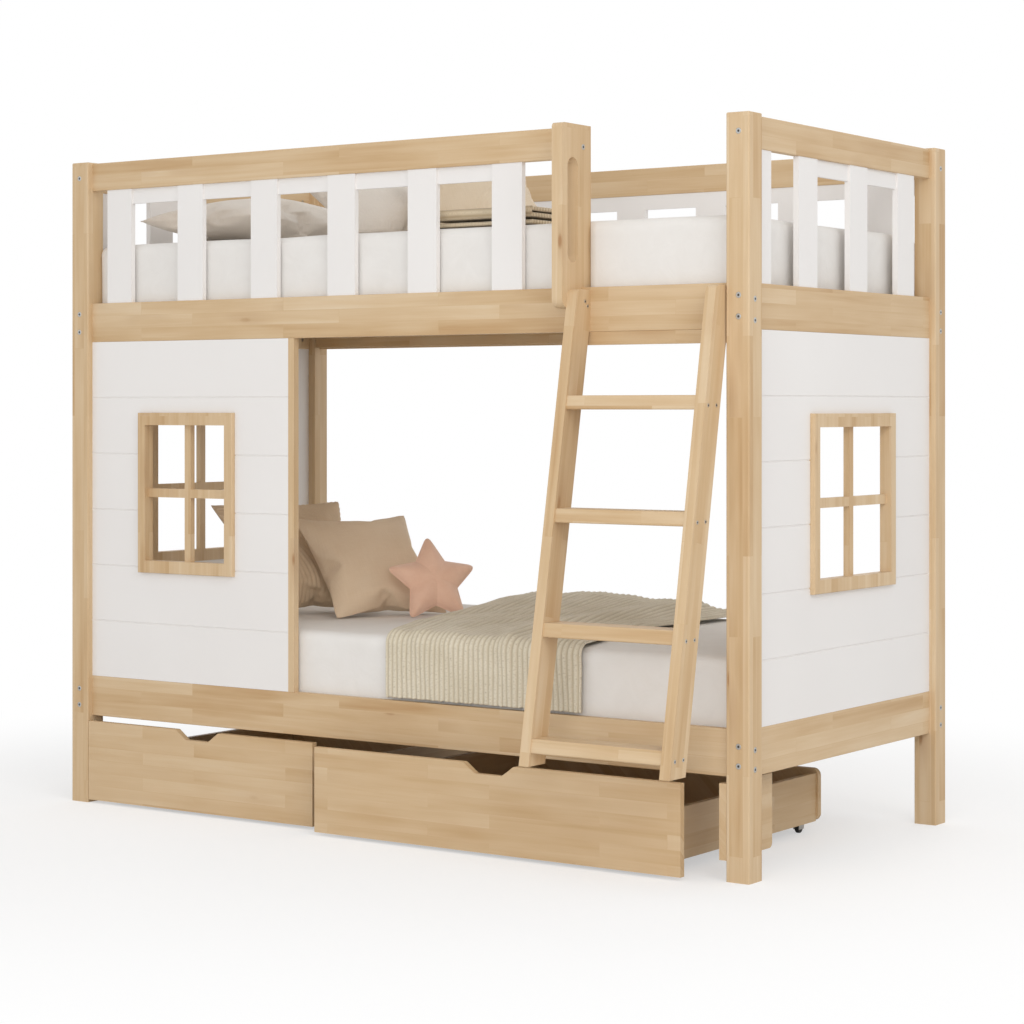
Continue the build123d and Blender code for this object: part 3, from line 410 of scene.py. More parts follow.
# Materials of the solids that stay
wood_x = wood("wood_along_x", "X", seed=0.13)
wood_y = wood("wood_along_y", "Y", seed=1.37)
wood_z = wood("wood_along_z", "Z", seed=0.71)
wood_ladder = wood("wood_ladder", "Z", lean=10.5, seed=2.19)
wood_drawer = wood("wood_drawer", "X", seed=3.4, knots=0.25, contrast=0.75)
wood_drawer_side = wood("wood_drawer_side", "Y", seed=4.6, knots=0.3, contrast=0.8)
paint_white = paint("white_paint")
steel_bright = steel("zinc_steel", rgb(208, 208, 206), 0.28)
# Dark steel of the sockets: painted shade that stands for the depth of each socket's recess.
painted_socket_shade = steel("socket_painted_shade", rgb(96, 94, 92), 0.45)
nylon_black = nylon("black_nylon")


def material_of(node):
    """The finish of a solid that is shown, by what it is."""
    if node.startswith(("wall_panel", "guard_slats")):
        return paint_white
    if node in ("frame_bolts", "ladder_screws") or node.endswith("_brackets"):
        return steel_bright
    if "_wheels_" in node:
        return nylon_black
    if node.startswith("ladder_stringer"):
        return wood_ladder
    if node.startswith("drawer_") and node.endswith("_front"):
        return wood_drawer
    if node.endswith(("_box", "_bottom")) or node == "drawer_guide":
        return wood_drawer_side
    if node.startswith(("post_", "guard_handle", "panel_edge", "window_frame")):
        return wood_z
    if node.startswith("bed_slats") or node.endswith(("_rail_left", "_rail_right")):
        return wood_y
    return wood_x


for node_name, node_object in nodes.items():
    node_object.data.materials.clear()
    node_object.data.materials.append(material_of(node_name))


def add_piece(name, mesh, material, smooth=True):
    """A new piece that rides on the bed."""
    piece = bpy.data.objects.new(name, mesh)
    scene.collection.objects.link(piece)
    mesh.materials.append(material)
    if smooth:
        mesh.polygons.foreach_set("use_smooth", [True] * len(mesh.polygons))
    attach(piece, "bed")
    return piece


def add_mesh(name, points, faces, material, smooth=True):
    """A new piece from its points and faces."""
    mesh = bpy.data.meshes.new(name)
    mesh.from_pydata(points, [], faces)
    mesh.update()
    return add_piece(name, mesh, material, smooth)


def grid_faces(rows, columns):
    """Faces of a grid of points that are listed row by row."""
    wide = columns + 1
    corners = [j * wide + i for j in range(rows) for i in range(columns)]
    return [(a, a + 1, a + 1 + wide, a + wide) for a in corners]


def set_cloth(piece, values):
    """Stores flat cloth coordinates on the vertices for the weave."""
    layer = piece.data.attributes.new("cloth", "FLOAT_VECTOR", "POINT")
    layer.data.foreach_set("vector", [c for value in values for c in value])


def bake_modifiers(piece):
    """Makes the modified mesh the piece's own."""
    depsgraph = bpy.context.evaluated_depsgraph_get()
    done = bpy.data.meshes.new_from_object(piece.evaluated_get(depsgraph))
    piece.modifiers.clear()
    piece.data = done


def subdivide(piece, levels):
    modifier = piece.modifiers.new("Smooth", "SUBSURF")
    modifier.levels = levels
    modifier.render_levels = levels
    bake_modifiers(piece)


# Bolt heads: a hexagon socket in each, dark with painted shade for its recess
def islands(mesh):
    """Groups of vertex places that hang together in a mesh."""
    built = bmesh.new()
    built.from_mesh(mesh)
    bmesh.ops.remove_doubles(built, verts=built.verts, dist=1e-6)
    seen = set()
    groups = []
    for start in built.verts:
        if start in seen:
            continue
        stack = [start]
        group = []
        seen.add(start)
        while stack:
            vertex = stack.pop()
            group.append(vertex.co.copy())
            for edge in vertex.link_edges:
                other = edge.other_vert(vertex)
                if other not in seen:
                    seen.add(other)
                    stack.append(other)
        groups.append(group)
    built.free()
    return groups


def head_of(group):
    """Centre of a bolt's head face and its outward axis, or None for a nut."""
    low = Vector([min(p[i] for p in group) for i in range(3)])
    high = Vector([max(p[i] for p in group) for i in range(3)])
    size = high - low
    axis = max(range(3), key=lambda i: size[i])
    if size[axis] < SHORTEST_BOLT:
        return None
    middle = (low + high) / 2
    top = [p for p in group if abs(p[axis] - high[axis]) < END_FACE_DEPTH]
    spread = max((p - middle).length_squared - (p - middle)[axis] ** 2 for p in top)
    side = 1 if spread > SHANK_SPREAD else -1
    middle[axis] = high[axis] if side > 0 else low[axis]
    outward = Vector((0, 0, 0))
    outward[axis] = side
    return middle, outward


def add_sockets(node, name, radius):
    """Hexagon sockets, drawn as shallow cups that stand in the heads, in a dark steel that is painted
    shade for the recess of a socket.
    """
    points = []
    faces = []
    for group in islands(nodes[node].data):
        head = head_of(group)
        if head is None:
            continue
        middle, outward = head
        spin = outward.to_track_quat("Z", "Y").to_matrix()
        first = len(points)
        for level, share in SOCKET_RINGS:
            for k in range(6):
                angle = k * math.pi / 3
                reach = share * radius
                local = Vector((reach * math.cos(angle), reach * math.sin(angle), level * SOCKET_RISE))
                points.append(middle + spin @ local)
        for ring in range(len(SOCKET_RINGS) - 1):
            for k in range(6):
                a = first + 6 * ring + k
                b = first + 6 * ring + (k + 1) % 6
                faces.append((a, b, b + 6, a + 6))
        faces.append([first + 18 + k for k in range(6)])
    add_mesh(name, points, faces, painted_socket_shade, smooth=False)


add_sockets("frame_bolts", "bolt_sockets", BOLT_SOCKET_R)
add_sockets("ladder_screws", "screw_sockets", SCREW_SOCKET_R)


# Mattresses under sheets
def fold_depth(place, across, seed):
    """Soft folds of a sheet, from 0 to 1, that run down the sides and wander on the top."""
    wide = noise.noise(Vector((across * 5.0, place.z * 1.6, seed)))
    narrow = noise.noise(Vector((across * 17.0 + wide * 2.2, place.z * 4.5, seed + 7.0)))
    ridge = 1.0 - abs(narrow)
    return min(1.0, max(0.0, 0.5 + 0.35 * wide + 0.5 * (ridge - 0.72)))


def add_bed_sheet(name, node, seed, dent_node=None):
    """A mattress in its sheet: a rounded box with folds pressed into it."""
    low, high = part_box(node)
    middle = (low + high) / 2
    half = (high - low) / 2
    built = bmesh.new()
    bmesh.ops.create_cube(built, size=2.0)
    cuts = [max(2, round(2 * half[i] / SHEET_CELL)) for i in range(3)]
    for axis in range(3):
        edges = [
            e for e in built.edges
            if abs(e.verts[0].co[axis] - e.verts[1].co[axis]) > 1.0
        ]
        bmesh.ops.subdivide_edges(built, edges=edges, cuts=cuts[axis], use_grid_fill=True)
    for vertex in built.verts:
        raw = Vector([vertex.co[i] * half[i] for i in range(3)])
        core = Vector([
            max(-half[i] + SHEET_ROUND, min(half[i] - SHEET_ROUND, raw[i])) for i in range(3)
        ])
        out = raw - core
        direction = out.normalized() if out.length > 1e-9 else Vector((0, 0, 1))
        place = core + direction * SHEET_ROUND
        across = place.x + 0.7 * place.y
        depth = fold_depth(place, across, seed)
        level = max(0.0, direction.z)
        dips = 0.5 - 0.5 * noise.noise(Vector((place.x * 4.2, place.y * 5.0, seed + 3.0)))
        inward = SIDE_FOLD_DEPTH * depth * (1 - level) + TOP_FOLD_DEPTH * level * dips
        vertex.co = middle + place - direction * inward
    mesh = bpy.data.meshes.new(name)
    built.to_mesh(mesh)
    built.free()
    piece = add_piece(name, mesh, sheet_white)
    if dent_node:
        press_in(piece, dent_node)
    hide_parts(node)


def press_in(piece, node):
    """Pushes the front of a mattress back where an upright board stands against it."""
    low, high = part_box(node)
    reach = high.y + PRESS_GAP
    for vertex in piece.data.vertices:
        place = vertex.co
        beside = max(low.x - place.x, place.x - high.x, 0.0)
        if beside < PRESS_MARGIN and place.y < reach and place.z > low.z:
            share = 1.0 - beside / PRESS_MARGIN
            share = share * share * (3 - 2 * share)
            place.y += (reach - place.y) * share


sheet_white = sheeting("white_sheeting")
add_bed_sheet("sheet_lower", "mattress_lower", 2.0)
add_bed_sheet("sheet_upper", "mattress_upper", 11.0, "guard_handle_board")


# Cushions: two flat covers sewn at their edge and blown up
def envelope(length, width):
    """Points and faces of two flat rectangles that share their border."""
    cells_x = round(length / PUFF_CELL)
    cells_y = round(width / PUFF_CELL)
    points = []
    index = {}
    for side in (1, -1):
        for j in range(cells_y + 1):
            for i in range(cells_x + 1):
                border = i in (0, cells_x) or j in (0, cells_y)
                key = (i, j, 0 if border else side)
                if key not in index:
                    index[key] = len(points)
                    x = (i / cells_x - 0.5) * length
                    y = (j / cells_y - 0.5) * width
                    points.append((x, y, 0.0 if border else side * COVER_GAP))
    faces = []
    for side in (1, -1):
        for j in range(cells_y):
            for i in range(cells_x):
                corners = ((i, j), (i + 1, j), (i + 1, j + 1), (i, j + 1))
                face = []
                for a, b in corners:
                    border = a in (0, cells_x) or b in (0, cells_y)
                    face.append(index[(a, b, 0 if border else side)])
                faces.append(face if side > 0 else face[::-1])
    rim = [index[(i, 0, 0)] for i in range(cells_x)]
    rim += [index[(cells_x, j, 0)] for j in range(cells_y)]
    rim += [index[(cells_x - i, cells_y, 0)] for i in range(cells_x)]
    rim += [index[(0, cells_y - j, 0)] for j in range(cells_y)]
    return points, faces, rim


def blow_up(piece, pressure):
    """Cloth simulation that fills the envelope, applied to the mesh."""
    modifier = piece.modifiers.new("Cloth", "CLOTH")
    settings = modifier.settings
    settings.quality = 6
    settings.mass = 0.25
    settings.tension_stiffness = 30.0
    settings.compression_stiffness = 30.0
    settings.shear_stiffness = 12.0
    settings.bending_stiffness = 0.6
    settings.use_pressure = True
    settings.uniform_pressure_force = pressure
    settings.effector_weights.gravity = 0.0
    modifier.collision_settings.use_collision = False
    for step in range(1, PUFF_FRAMES + 1):
        scene.frame_set(step)
    bake_modifiers(piece)
    scene.frame_set(1)


def fit_size(piece, size):
    """Scales a mesh about its middle to a size along its own axes."""
    spans = []
    for axis in range(3):
        values = [v.co[axis] for v in piece.data.vertices]
        spans.append((min(values), max(values)))
    for vertex in piece.data.vertices:
        for axis in range(3):
            low, high = spans[axis]
            middle = (low + high) / 2
            vertex.co[axis] = (vertex.co[axis] - middle) * size[axis] / (high - low)


def facing(heading, recline):
    """Turns a piece that lies flat: its top looks along the heading and up by recline."""
    h, r = math.radians(heading), math.radians(recline)
    x_way = Vector((-math.sin(h), math.cos(h), 0))
    z_way = Vector((math.cos(h) * math.cos(r), math.sin(h) * math.cos(r), math.sin(r)))
    y_way = z_way.cross(x_way)
    return Matrix((x_way, y_way, z_way)).transposed()


def lay_like(piece, node, heading, recline, extra=()):
    """Turns a flat piece as its solid is turned, and sets it where the solid lies."""
    low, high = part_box(node)
    turn = facing(heading, recline)
    places = [turn @ v.co for v in piece.data.vertices]
    middle = [(min(p[i] for p in places) + max(p[i] for p in places)) / 2 for i in range(2)]
    lift = low.z - min(p.z for p in places)
    shift = Vector(((low.x + high.x) / 2 - middle[0], (low.y + high.y) / 2 - middle[1], lift))
    for thing in (piece, *extra):
        for vertex in thing.data.vertices:
            vertex.co = turn @ vertex.co + shift


def tube_through(name, places, radius, material, sides=8):
    """A closed piping through places, as a mesh."""
    points = []
    faces = []
    count = len(places)
    for i, place in enumerate(places):
        ahead = (places[(i + 1) % count] - places[i - 1]).normalized()
        up = Vector((0, 0, 1))
        aside = ahead.cross(up).normalized()
        for k in range(sides):
            angle = 2 * math.pi * k / sides
            points.append(place + radius * (math.cos(angle) * aside + math.sin(angle) * up))
    for i in range(count):
        for k in range(sides):
            a = i * sides + k
            b = i * sides + (k + 1) % sides
            c = ((i + 1) % count) * sides + (k + 1) % sides
            d = ((i + 1) % count) * sides + k
            faces.append((a, b, c, d))
    return add_mesh(name, points, faces, material)


def emboss(piece, height):
    """Moves each point along its normal by a height worked out from its place."""
    normals = [v.normal.copy() for v in piece.data.vertices]
    for vertex, normal in zip(piece.data.vertices, normals):
        vertex.co += normal * height(vertex.co)


def add_cushion(name, node, size, pose, material, pressure, piping, pattern=None):
    """A stuffed square or oblong cushion in its place, with its piping."""
    length, width, thickness = size
    points, faces, rim = envelope(length, width)
    piece = add_mesh(name, points, faces, material)
    blow_up(piece, pressure)
    fit_size(piece, size)
    edge = [piece.data.vertices[i].co.copy() for i in rim]
    subdivide(piece, 2)
    fit_size(piece, size)
    if pattern:
        emboss(piece, pattern)
    seam = tube_through(f"{name}_piping", edge, piping, material)
    for thing in (piece, seam):
        set_cloth(thing, [v.co.copy() for v in thing.data.vertices])
    lay_like(piece, node, *pose, [seam])
    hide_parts(node)


def rings(centre, pitch, height, reach):
    """Concentric ridges about a centre, in the cushion's own plane."""
    def ridge(place):
        distance = math.hypot(place.x - centre[0], place.y - centre[1])
        if distance > reach or place.z < 0:
            return 0.0
        wave = 0.5 + 0.5 * math.cos(2 * math.pi * distance / pitch)
        return height * wave ** 0.6
    return ridge


def fans(pitch, height, cell):
    """Overlapping fans of ridges, like scales."""
    def ridge(place):
        if place.z < 0:
            return 0.0
        row = math.floor(place.y / (cell / 2))
        shift = cell / 2 if row % 2 else 0.0
        x = (place.x + shift) % cell - cell / 2
        y = place.y - row * cell / 2
        distance = math.hypot(x, y)
        return height * (0.5 + 0.5 * math.cos(2 * math.pi * distance / pitch))
    return ridge


def quarter_arcs(pitch, height):
    """Arcs about two opposite corners with a plain band between them."""
    def ridge(place):
        if place.z < 0:
            return 0.0
        first = math.hypot(place.x + ARC_SIZE / 2, place.y - ARC_SIZE / 2)
        second = math.hypot(place.x - ARC_SIZE / 2, place.y + ARC_SIZE / 2)
        distance = min(first, second)
        if distance > 0.62 * ARC_SIZE:
            return 0.0
        return height * (0.5 + 0.5 * math.cos(2 * math.pi * distance / pitch))
    return ridge


linen_tan = woven("linen_tan", rgb(244, 224, 198), rgb(220, 192, 160), 0.0016, 0.0006, 0.15)
linen_ribbed = woven("linen_ribbed", rgb(240, 218, 190), rgb(210, 182, 148), 0.0018, 0.0008, 0.15)
linen_arcs = woven("linen_arcs", rgb(244, 228, 204), rgb(214, 190, 158), 0.0018, 0.0008, 0.15)
cotton_cream = woven("cotton_cream", rgb(240, 232, 222), rgb(218, 208, 196), 0.0012, 0.0004, 0.12)
plush_pink = plush("plush_pink")
# The second colour of each knit is both its flecks and the painted shade between its ribs.
knit_cream = knitted("knit_cream", rgb(242, 234, 216), rgb(168, 150, 120))
knit_tan = knitted("knit_tan", rgb(232, 212, 182), rgb(170, 146, 112))

add_cushion(
    "linen_cushion", "cushion_linen", (LINEN_SIZE, LINEN_SIZE, LINEN_T),
    (LINEN_HEADING, LINEN_RECLINE), linen_tan, 3.4, PIPING_R,
)
add_cushion(
    "ribbed_cushion", "cushion_ribbed", (RIBBED_SIZE, RIBBED_SIZE, RIBBED_T),
    (LINEN_HEADING, LINEN_RECLINE), linen_ribbed, 4.0, PIPING_R,
    rings((-0.19, -0.10), pitch=0.013, height=0.0022, reach=0.5),
)
add_cushion(
    "long_pillow", "pillow_upper", (PILLOW_LENGTH, PILLOW_W, PILLOW_T),
    (0.0, 90.0), cotton_cream, 4.4, PILLOW_PIPING_R,
)
add_cushion(
    "fan_cushion", "cushion_fan", (FAN_SIZE, FAN_SIZE, FAN_T),
    (FAN_HEADING, FAN_RECLINE), cotton_cream, 4.0, THIN_PIPING_R,
    fans(pitch=0.0085, height=0.0012, cell=0.085),
)
add_cushion(
    "arc_cushion", "cushion_arc", (ARC_SIZE, ARC_SIZE, ARC_T),
    (ARC_HEADING, ARC_RECLINE), linen_arcs, 4.0, THIN_PIPING_R,
    quarter_arcs(pitch=0.0095, height=0.0016),
)


# Star cushion
STAR_AROUND = 220
STAR_RINGS = 26
STAR_BLUNT = 0.93
STAR_BLEND = 0.004


def star_radius(angle):
    """Outline of a plump five-pointed star with blunt tips."""
    sector = 2 * math.pi / 5
    off = abs((angle - math.pi / 2 + sector / 2) % sector - sector / 2)
    tip = Vector((STAR_TIP_R, 0))
    waist = Vector((STAR_WAIST_R * math.cos(sector / 2), STAR_WAIST_R * math.sin(sector / 2)))
    edge = waist - tip
    cross = math.cos(off) * edge.y - math.sin(off) * edge.x
    straight = (tip.x * edge.y - tip.y * edge.x) / cross
    blunt = STAR_BLUNT * STAR_TIP_R / max(0.35, math.cos(off)) ** 2.0
    both = math.exp(-straight / STAR_BLEND) + math.exp(-blunt / STAR_BLEND)
    return -math.log(both) * STAR_BLEND


def star_point(side, ring, k):
    """A point of one side of the star, on a ring that shrinks towards the middle."""
    share = math.sin(ring / STAR_RINGS * math.pi / 2)
    angle = 2 * math.pi * k / STAR_AROUND
    reach = star_radius(angle)
    pucker = noise.noise(Vector((math.cos(angle) * 9, math.sin(angle) * 9, side * 5.0)))
    rise = max(0.0, 1 - share ** 2.3) ** 0.62
    rise *= 1 + 0.10 * pucker * share ** 3
    narrow = 0.62 + 0.38 * min(1.0, reach * (1 - 0.25 * share) / (0.6 * STAR_TIP_R))
    z = side * STAR_T / 2 * rise * (1 - (1 - narrow) * share)
    return share * reach * math.cos(angle), share * reach * math.sin(angle), z


def star_index(side, ring, k):
    """Place of a point in the star's list. Both sides share the outermost ring."""
    first = 2 if side > 0 or ring == STAR_RINGS else 2 + STAR_RINGS * STAR_AROUND
    return first + (ring - 1) * STAR_AROUND + k % STAR_AROUND


def add_star():
    """Star cushion: two puffed sides that meet in a seam, with small puckers along it."""
    points = [(0.0, 0.0, STAR_T / 2), (0.0, 0.0, -STAR_T / 2)]
    faces = []
    for side, ring_count in ((1, STAR_RINGS), (-1, STAR_RINGS - 1)):
        for ring in range(1, ring_count + 1):
            points += [star_point(side, ring, k) for k in range(STAR_AROUND)]
    for side in (1, -1):
        centre = 0 if side > 0 else 1
        for k in range(STAR_AROUND):
            first = (centre, star_index(side, 1, k), star_index(side, 1, k + 1))
            faces.append(first if side > 0 else first[::-1])
            for ring in range(1, STAR_RINGS):
                face = (star_index(side, ring, k), star_index(side, ring + 1, k),
                        star_index(side, ring + 1, k + 1), star_index(side, ring, k + 1))
                faces.append(face if side > 0 else face[::-1])
    piece = add_mesh("star_plush", points, faces, plush_pink)
    edge = [Vector(points[star_index(1, STAR_RINGS, k)]) for k in range(STAR_AROUND)]
    seam = tube_through("star_seam", edge, STAR_SEAM_R, plush_pink, 6)
    for thing in (piece, seam):
        set_cloth(thing, [v.co.copy() for v in thing.data.vertices])
    lay_like(piece, "cushion_star", STAR_HEADING, STAR_RECLINE, [seam])
    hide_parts("cushion_star")


add_star()


# Knitted throw over the lower bed. Places in metres from the middle of the posts
def middle_y():
    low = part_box("post_front_left")[0].y
    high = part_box("post_back_left")[1].y
    return (low + high) / 2


MID_Y = middle_y()
THROW_HEM_Z = 0.333
THROW_T = 0.005
THROW_FRONT = -0.460
THROW_BEND = 0.026
THROW_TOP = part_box("mattress_lower")[1].z + 0.004
THROW_FLAP = THROW_TOP - THROW_BEND - THROW_HEM_Z
THROW_LEFT = ((-0.441, 0.007), (-0.202, -0.100), (0.042, -0.150), (0.240, -0.205), (0.436, -0.262))
THROW_RIGHT = ((-0.441, 0.558), (-0.202, 0.500), (0.042, 0.464), (0.240, 0.462), (0.436, 0.468))
THROW_RIBS = 40
THROW_RIB_SAMPLES = 7
THROW_STEP = 0.0030
THROW_RIB_HEIGHT = 0.0030
THROW_STITCH_HEIGHT = 0.0011
THROW_FOLD_HEIGHT = 0.0055
THROW_FOLD_GAIN = 0.0075
THROW_HEAP = 0.031
THROW_SIDE_WANDER = 0.004
THROW_HEM_WAVE = 0.003
RIB_PITCH = 0.0138
STITCH_PITCH = 0.0085


def between(table, y):
    """Straight-line value of a table at y."""
    if y <= table[0][0]:
        return table[0][1]
    for (y0, x0), (y1, x1) in zip(table, table[1:]):
        if y <= y1:
            return x0 + (x1 - x0) * (y - y0) / (y1 - y0)
    return table[-1][1]


def throw_line(run):
    """Y, Z and outward direction at a run along the throw, from its hem to its back edge."""
    bend = THROW_BEND * math.pi / 2
    if run < THROW_FLAP:
        return THROW_FRONT, THROW_HEM_Z + run, (-1.0, 0.0)
    if run < THROW_FLAP + bend:
        angle = (run - THROW_FLAP) / THROW_BEND
        y = THROW_FRONT + THROW_BEND * (1 - math.cos(angle))
        z = THROW_TOP - THROW_BEND + THROW_BEND * math.sin(angle)
        return y, z, (-math.cos(angle), math.sin(angle))
    return THROW_FRONT + THROW_BEND + run - THROW_FLAP - bend, THROW_TOP, (0.0, 1.0)


def big_folds(share, run):
    """Loose folds of the throw, 0 to 1: a few near the hem, more and higher at the back."""
    drift = 0.10 * math.sin(run * 5.0) + 0.05 * noise.noise(Vector((share * 2, run * 3, 4.0)))
    wander = share + drift
    slow = 0.5 + 0.5 * math.sin(2 * math.pi * (3.1 * wander + 0.15))
    quick = 0.5 + 0.5 * math.sin(2 * math.pi * (7.3 * wander + 0.35 * math.sin(run * 6)))
    crease = max(0.0, math.sin(2 * math.pi * (2.2 * wander - 0.28))) ** 6
    return 0.45 * slow ** 1.4 + 0.25 * quick + 0.55 * crease


def heap(share, run, total):
    """Extra height where the throw is bunched towards the back."""
    back = max(0.0, min(1.0, (run / total - 0.42) / 0.5))
    swell = abs(math.sin(math.pi * (0.12 + 0.88 * share))) ** 0.8
    return THROW_HEAP * back ** 1.3 * swell


def ripple(phase):
    """A wave from 0 to 1 with one crest to a turn."""
    return 0.5 + 0.5 * math.cos(2 * math.pi * phase)


def throw_point(share, run, total):
    """Place and cloth coordinates of a point: its share of the width and run of the length."""
    y, z, (out_y, out_z) = throw_line(run)
    left, right = between(THROW_LEFT, y), between(THROW_RIGHT, y)
    edge = min(share, 1 - share)
    fade = min(1.0, edge / 0.05)
    hang = min(1.0, run / 0.12)
    amount = THROW_FOLD_HEIGHT + THROW_FOLD_GAIN * min(1.0, run / 0.3)
    lift = big_folds(share, run) * amount * (0.35 + 0.65 * fade) * (0.7 + 0.3 * hang)
    phase = share * THROW_RIBS
    rib = ripple(phase)
    slant = 0.5 if math.floor(phase + 0.5) % 2 else 0.0
    stitch = ripple(run / STITCH_PITCH + slant + 0.5 * abs((phase + 0.5) % 1 - 0.5))
    small = THROW_RIB_HEIGHT * rib ** 0.7 + THROW_STITCH_HEIGHT * stitch * rib
    rise = lift + small + heap(share, run, total) * out_z
    sway = THROW_SIDE_WANDER * noise.noise(Vector((share * 6, run * 8, 1.0)))
    ragged = THROW_HEM_WAVE * noise.noise(Vector((share * 60, 0.0, 9.0))) if run < 0.004 else 0.0
    x = left + (right - left) * share + sway
    place = Vector((x, MID_Y + y + out_y * rise, z + out_z * rise + ragged))
    # The third cloth coordinate is the rib's crest; the knit material paints shade between the ribs
    # from it.
    return place, (phase * RIB_PITCH, run, min(1.0, 0.15 + 0.85 * rib ** 0.8))


def add_cloth(name, node, points, flat, faces, material, thickness):
    """A sheet of cloth that takes the place of a solid, given its thickness."""
    piece = add_mesh(name, points, faces, material)
    set_cloth(piece, flat)
    thick = piece.modifiers.new("Thick", "SOLIDIFY")
    thick.thickness = thickness
    thick.offset = 0.0
    bake_modifiers(piece)
    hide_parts(node)
    return piece


def add_throw():
    """Knitted throw: a grid of ribs along its length, laid over the mattress and its edge."""
    laid = THROW_LEFT[-1][0] - THROW_FRONT - THROW_BEND
    total = THROW_FLAP + THROW_BEND * math.pi / 2 + laid
    columns = THROW_RIBS * THROW_RIB_SAMPLES
    rows = round(total / THROW_STEP)
    points = []
    flat = []
    for j in range(rows + 1):
        for i in range(columns + 1):
            place, cloth = throw_point(i / columns, j / rows * total, total)
            points.append(place)
            flat.append(cloth)
    piece = add_cloth(
        "knit_throw", "throw_knit", points, flat, grid_faces(rows, columns),
        knit_cream, THROW_T,
    )


add_throw()


# Folded throw on the upper bed: one sheet that lies in a serpentine
FOLD_LAYERS = 3
FOLD_COLUMNS = 176
FOLD_ROWS = 300
FOLD_EDGE_GAP = 0.002
FOLD_AIR = 0.0065
FOLD_RIB_PITCH = 0.0115
FOLD_RIB_DEPTH = 0.00176
FOLD_WAVE = 0.0008


def fold_path(low, pitch, straight, run):
    """Y, Z and outward direction at a run along a serpentine of flat layers and half turns."""
    turn = pitch / 2
    half_turn = math.pi * turn
    start = low.y + turn + FOLD_EDGE_GAP
    layer = min(FOLD_LAYERS - 1, math.floor(run / (straight + half_turn)))
    run -= layer * (straight + half_turn)
    side = 1 if layer % 2 == 0 else -1
    z = low.z + turn + layer * pitch
    if run <= straight or layer == FOLD_LAYERS - 1:
        y = start + (run if side > 0 else straight - run)
        return y, z, 0.0, side
    angle = (run - straight) / turn
    centre = start + (straight if side > 0 else 0.0)
    y = centre + side * turn * math.sin(angle)
    return y, z + turn * (1 - math.cos(angle)), side * math.sin(angle), -side * math.cos(angle)


def add_folded_throw():
    """Folded throw with ribs across its length."""
    low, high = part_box("throw_folded")
    pitch = (high.z - low.z) / FOLD_LAYERS
    straight = high.y - low.y - pitch - 2 * FOLD_EDGE_GAP
    run_length = FOLD_LAYERS * straight + (FOLD_LAYERS - 1) * math.pi * pitch / 2
    width = high.x - low.x
    points = []
    flat = []
    for row in range(FOLD_ROWS + 1):
        run = row / FOLD_ROWS * run_length
        y, z, out_y, out_z = fold_path(low, pitch, straight, run)
        rib = ripple(run / FOLD_RIB_PITCH)
        lift = FOLD_RIB_DEPTH * (rib - 1)
        for i in range(FOLD_COLUMNS + 1):
            share = i / FOLD_COLUMNS
            wave = FOLD_WAVE * noise.noise(Vector((share * 5, run * 4, 2.0)))
            x = low.x + FOLD_EDGE_GAP + share * (width - 2 * FOLD_EDGE_GAP)
            points.append(Vector((x, y + out_y * lift, z + out_z * lift + wave)))
            # The third cloth coordinate is the rib's crest; the knit material paints shade between the
            # ribs from it.
            flat.append((share * width, run, rib))
    piece = add_cloth(
        "folded_throw", "throw_folded", points, flat, grid_faces(FOLD_ROWS, FOLD_COLUMNS),
        knit_tan, pitch - FOLD_AIR,
    )


add_folded_throw()


# Floor and background
def add_floor():
    mesh = bpy.data.meshes.new("floor")
    corners = [(x * FLOOR_HALF, y * FLOOR_HALF, 0) for x, y in ((-1, -1), (1, -1), (1, 1), (-1, 1))]
    mesh.from_pydata(corners, [], [(0, 1, 2, 3)])
    floor = bpy.data.objects.new("floor", mesh)
    scene.collection.objects.link(floor)
    material = bpy.data.materials.new("floor_white")
    material.use_nodes = True
    tree = material.node_tree
    tree.nodes.clear()
    new = tree.nodes.new
    out = new("ShaderNodeOutputMaterial")
    seen = new("ShaderNodeBsdfDiffuse")
    seen.inputs["Color"].default_value = (1.0, 1.0, 1.0, 1.0)
    plain = new("ShaderNodeBsdfDiffuse")
    plain.inputs["Color"].default_value = (0.80, 0.80, 0.80, 1.0)
    white = new("ShaderNodeEmission")
    white.inputs["Strength"].default_value = 1.0
    place = new("ShaderNodeTexCoord")
    length = new("ShaderNodeVectorMath")
    length.operation = "LENGTH"
    fade = new("ShaderNodeMapRange")
    fade.interpolation_type = "SMOOTHSTEP"
    fade.inputs["From Min"].default_value = FLOOR_FADE_START
    fade.inputs["From Max"].default_value = FLOOR_FADE_END
    fade.inputs["To Min"].default_value = FLOOR_GLOW
    far = new("ShaderNodeMixShader")
    camera = new("ShaderNodeMixShader")
    rays = new("ShaderNodeLightPath")
    link = tree.links.new
    link(place.outputs["Object"], length.inputs[0])
    link(length.outputs["Value"], fade.inputs["Value"])
    link(fade.outputs[0], far.inputs[0])
    link(seen.outputs[0], far.inputs[1])
    link(white.outputs[0], far.inputs[2])
    link(rays.outputs["Is Camera Ray"], camera.inputs[0])
    link(plain.outputs[0], camera.inputs[1])
    link(far.outputs[0], camera.inputs[2])
    link(camera.outputs[0], out.inputs["Surface"])
    mesh.materials.append(material)


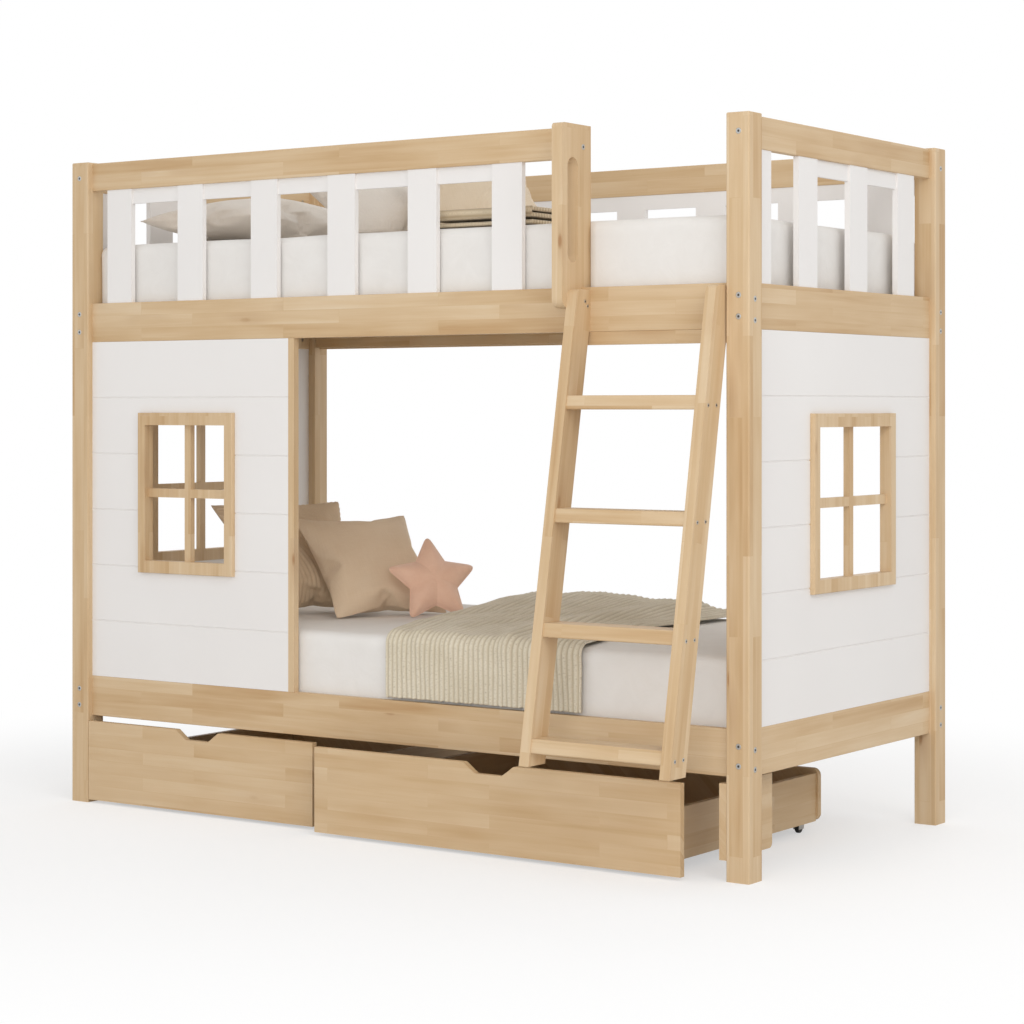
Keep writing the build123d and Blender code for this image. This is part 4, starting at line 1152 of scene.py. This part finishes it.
def set_world():
    """White to the camera and in reflections, softer as a light."""
    world = bpy.data.worlds.new("studio")
    scene.world = world
    world.use_nodes = True
    tree = world.node_tree
    tree.nodes.clear()
    new = tree.nodes.new
    out = new("ShaderNodeOutputWorld")
    shown = new("ShaderNodeBackground")
    shown.inputs["Strength"].default_value = 1.0
    shown.inputs["Color"].default_value = (1, 1, 1, 1)
    light = new("ShaderNodeBackground")
    light.inputs["Strength"].default_value = WORLD_STRENGTH
    light.inputs["Color"].default_value = (1, 1, 1, 1)
    rays = new("ShaderNodeLightPath")
    glossy = new("ShaderNodeMath")
    glossy.operation = "MAXIMUM"
    clear = new("ShaderNodeMath")
    clear.operation = "MAXIMUM"
    mix = new("ShaderNodeMixShader")
    link = tree.links.new
    link(rays.outputs["Is Camera Ray"], glossy.inputs[0])
    link(rays.outputs["Is Glossy Ray"], glossy.inputs[1])
    link(glossy.outputs[0], clear.inputs[0])
    link(rays.outputs["Is Transmission Ray"], clear.inputs[1])
    link(clear.outputs[0], mix.inputs[0])
    link(light.outputs[0], mix.inputs[1])
    link(shown.outputs[0], mix.inputs[2])
    link(mix.outputs[0], out.inputs["Surface"])


def add_lamp(name, place, size, watts):
    """A square soft lamp that looks at the middle of the object."""
    data = bpy.data.lights.new(name, "AREA")
    data.shape = "SQUARE"
    data.size = size
    data.energy = watts
    lamp = bpy.data.objects.new(name, data)
    scene.collection.objects.link(lamp)
    low, high = cad_box
    lamp.location = place
    lamp.rotation_euler = ((low + high) / 2 - Vector(place)).to_track_quat("-Z", "Y").to_euler()


def add_camera():
    data = bpy.data.cameras.new("camera")
    data.sensor_width = SENSOR_MM
    data.lens = FOCAL_PX / IMAGE_PX * SENSOR_MM
    data.shift_y = (HORIZON_PX - IMAGE_PX / 2) / IMAGE_PX
    camera = bpy.data.objects.new("camera", data)
    scene.collection.objects.link(camera)
    camera.location = CAMERA_AT
    camera.rotation_euler = (math.pi / 2, 0.0, math.radians(CAMERA_AZIMUTH))
    scene.camera = camera


add_floor()
set_world()
add_lamp("key", KEY_AT, KEY_SIZE, KEY_WATTS)
add_lamp("fill", FILL_AT, FILL_SIZE, FILL_WATTS)
add_lamp("back", BACK_AT, BACK_SIZE, BACK_WATTS)
add_camera()
scene.view_settings.view_transform = "Standard"
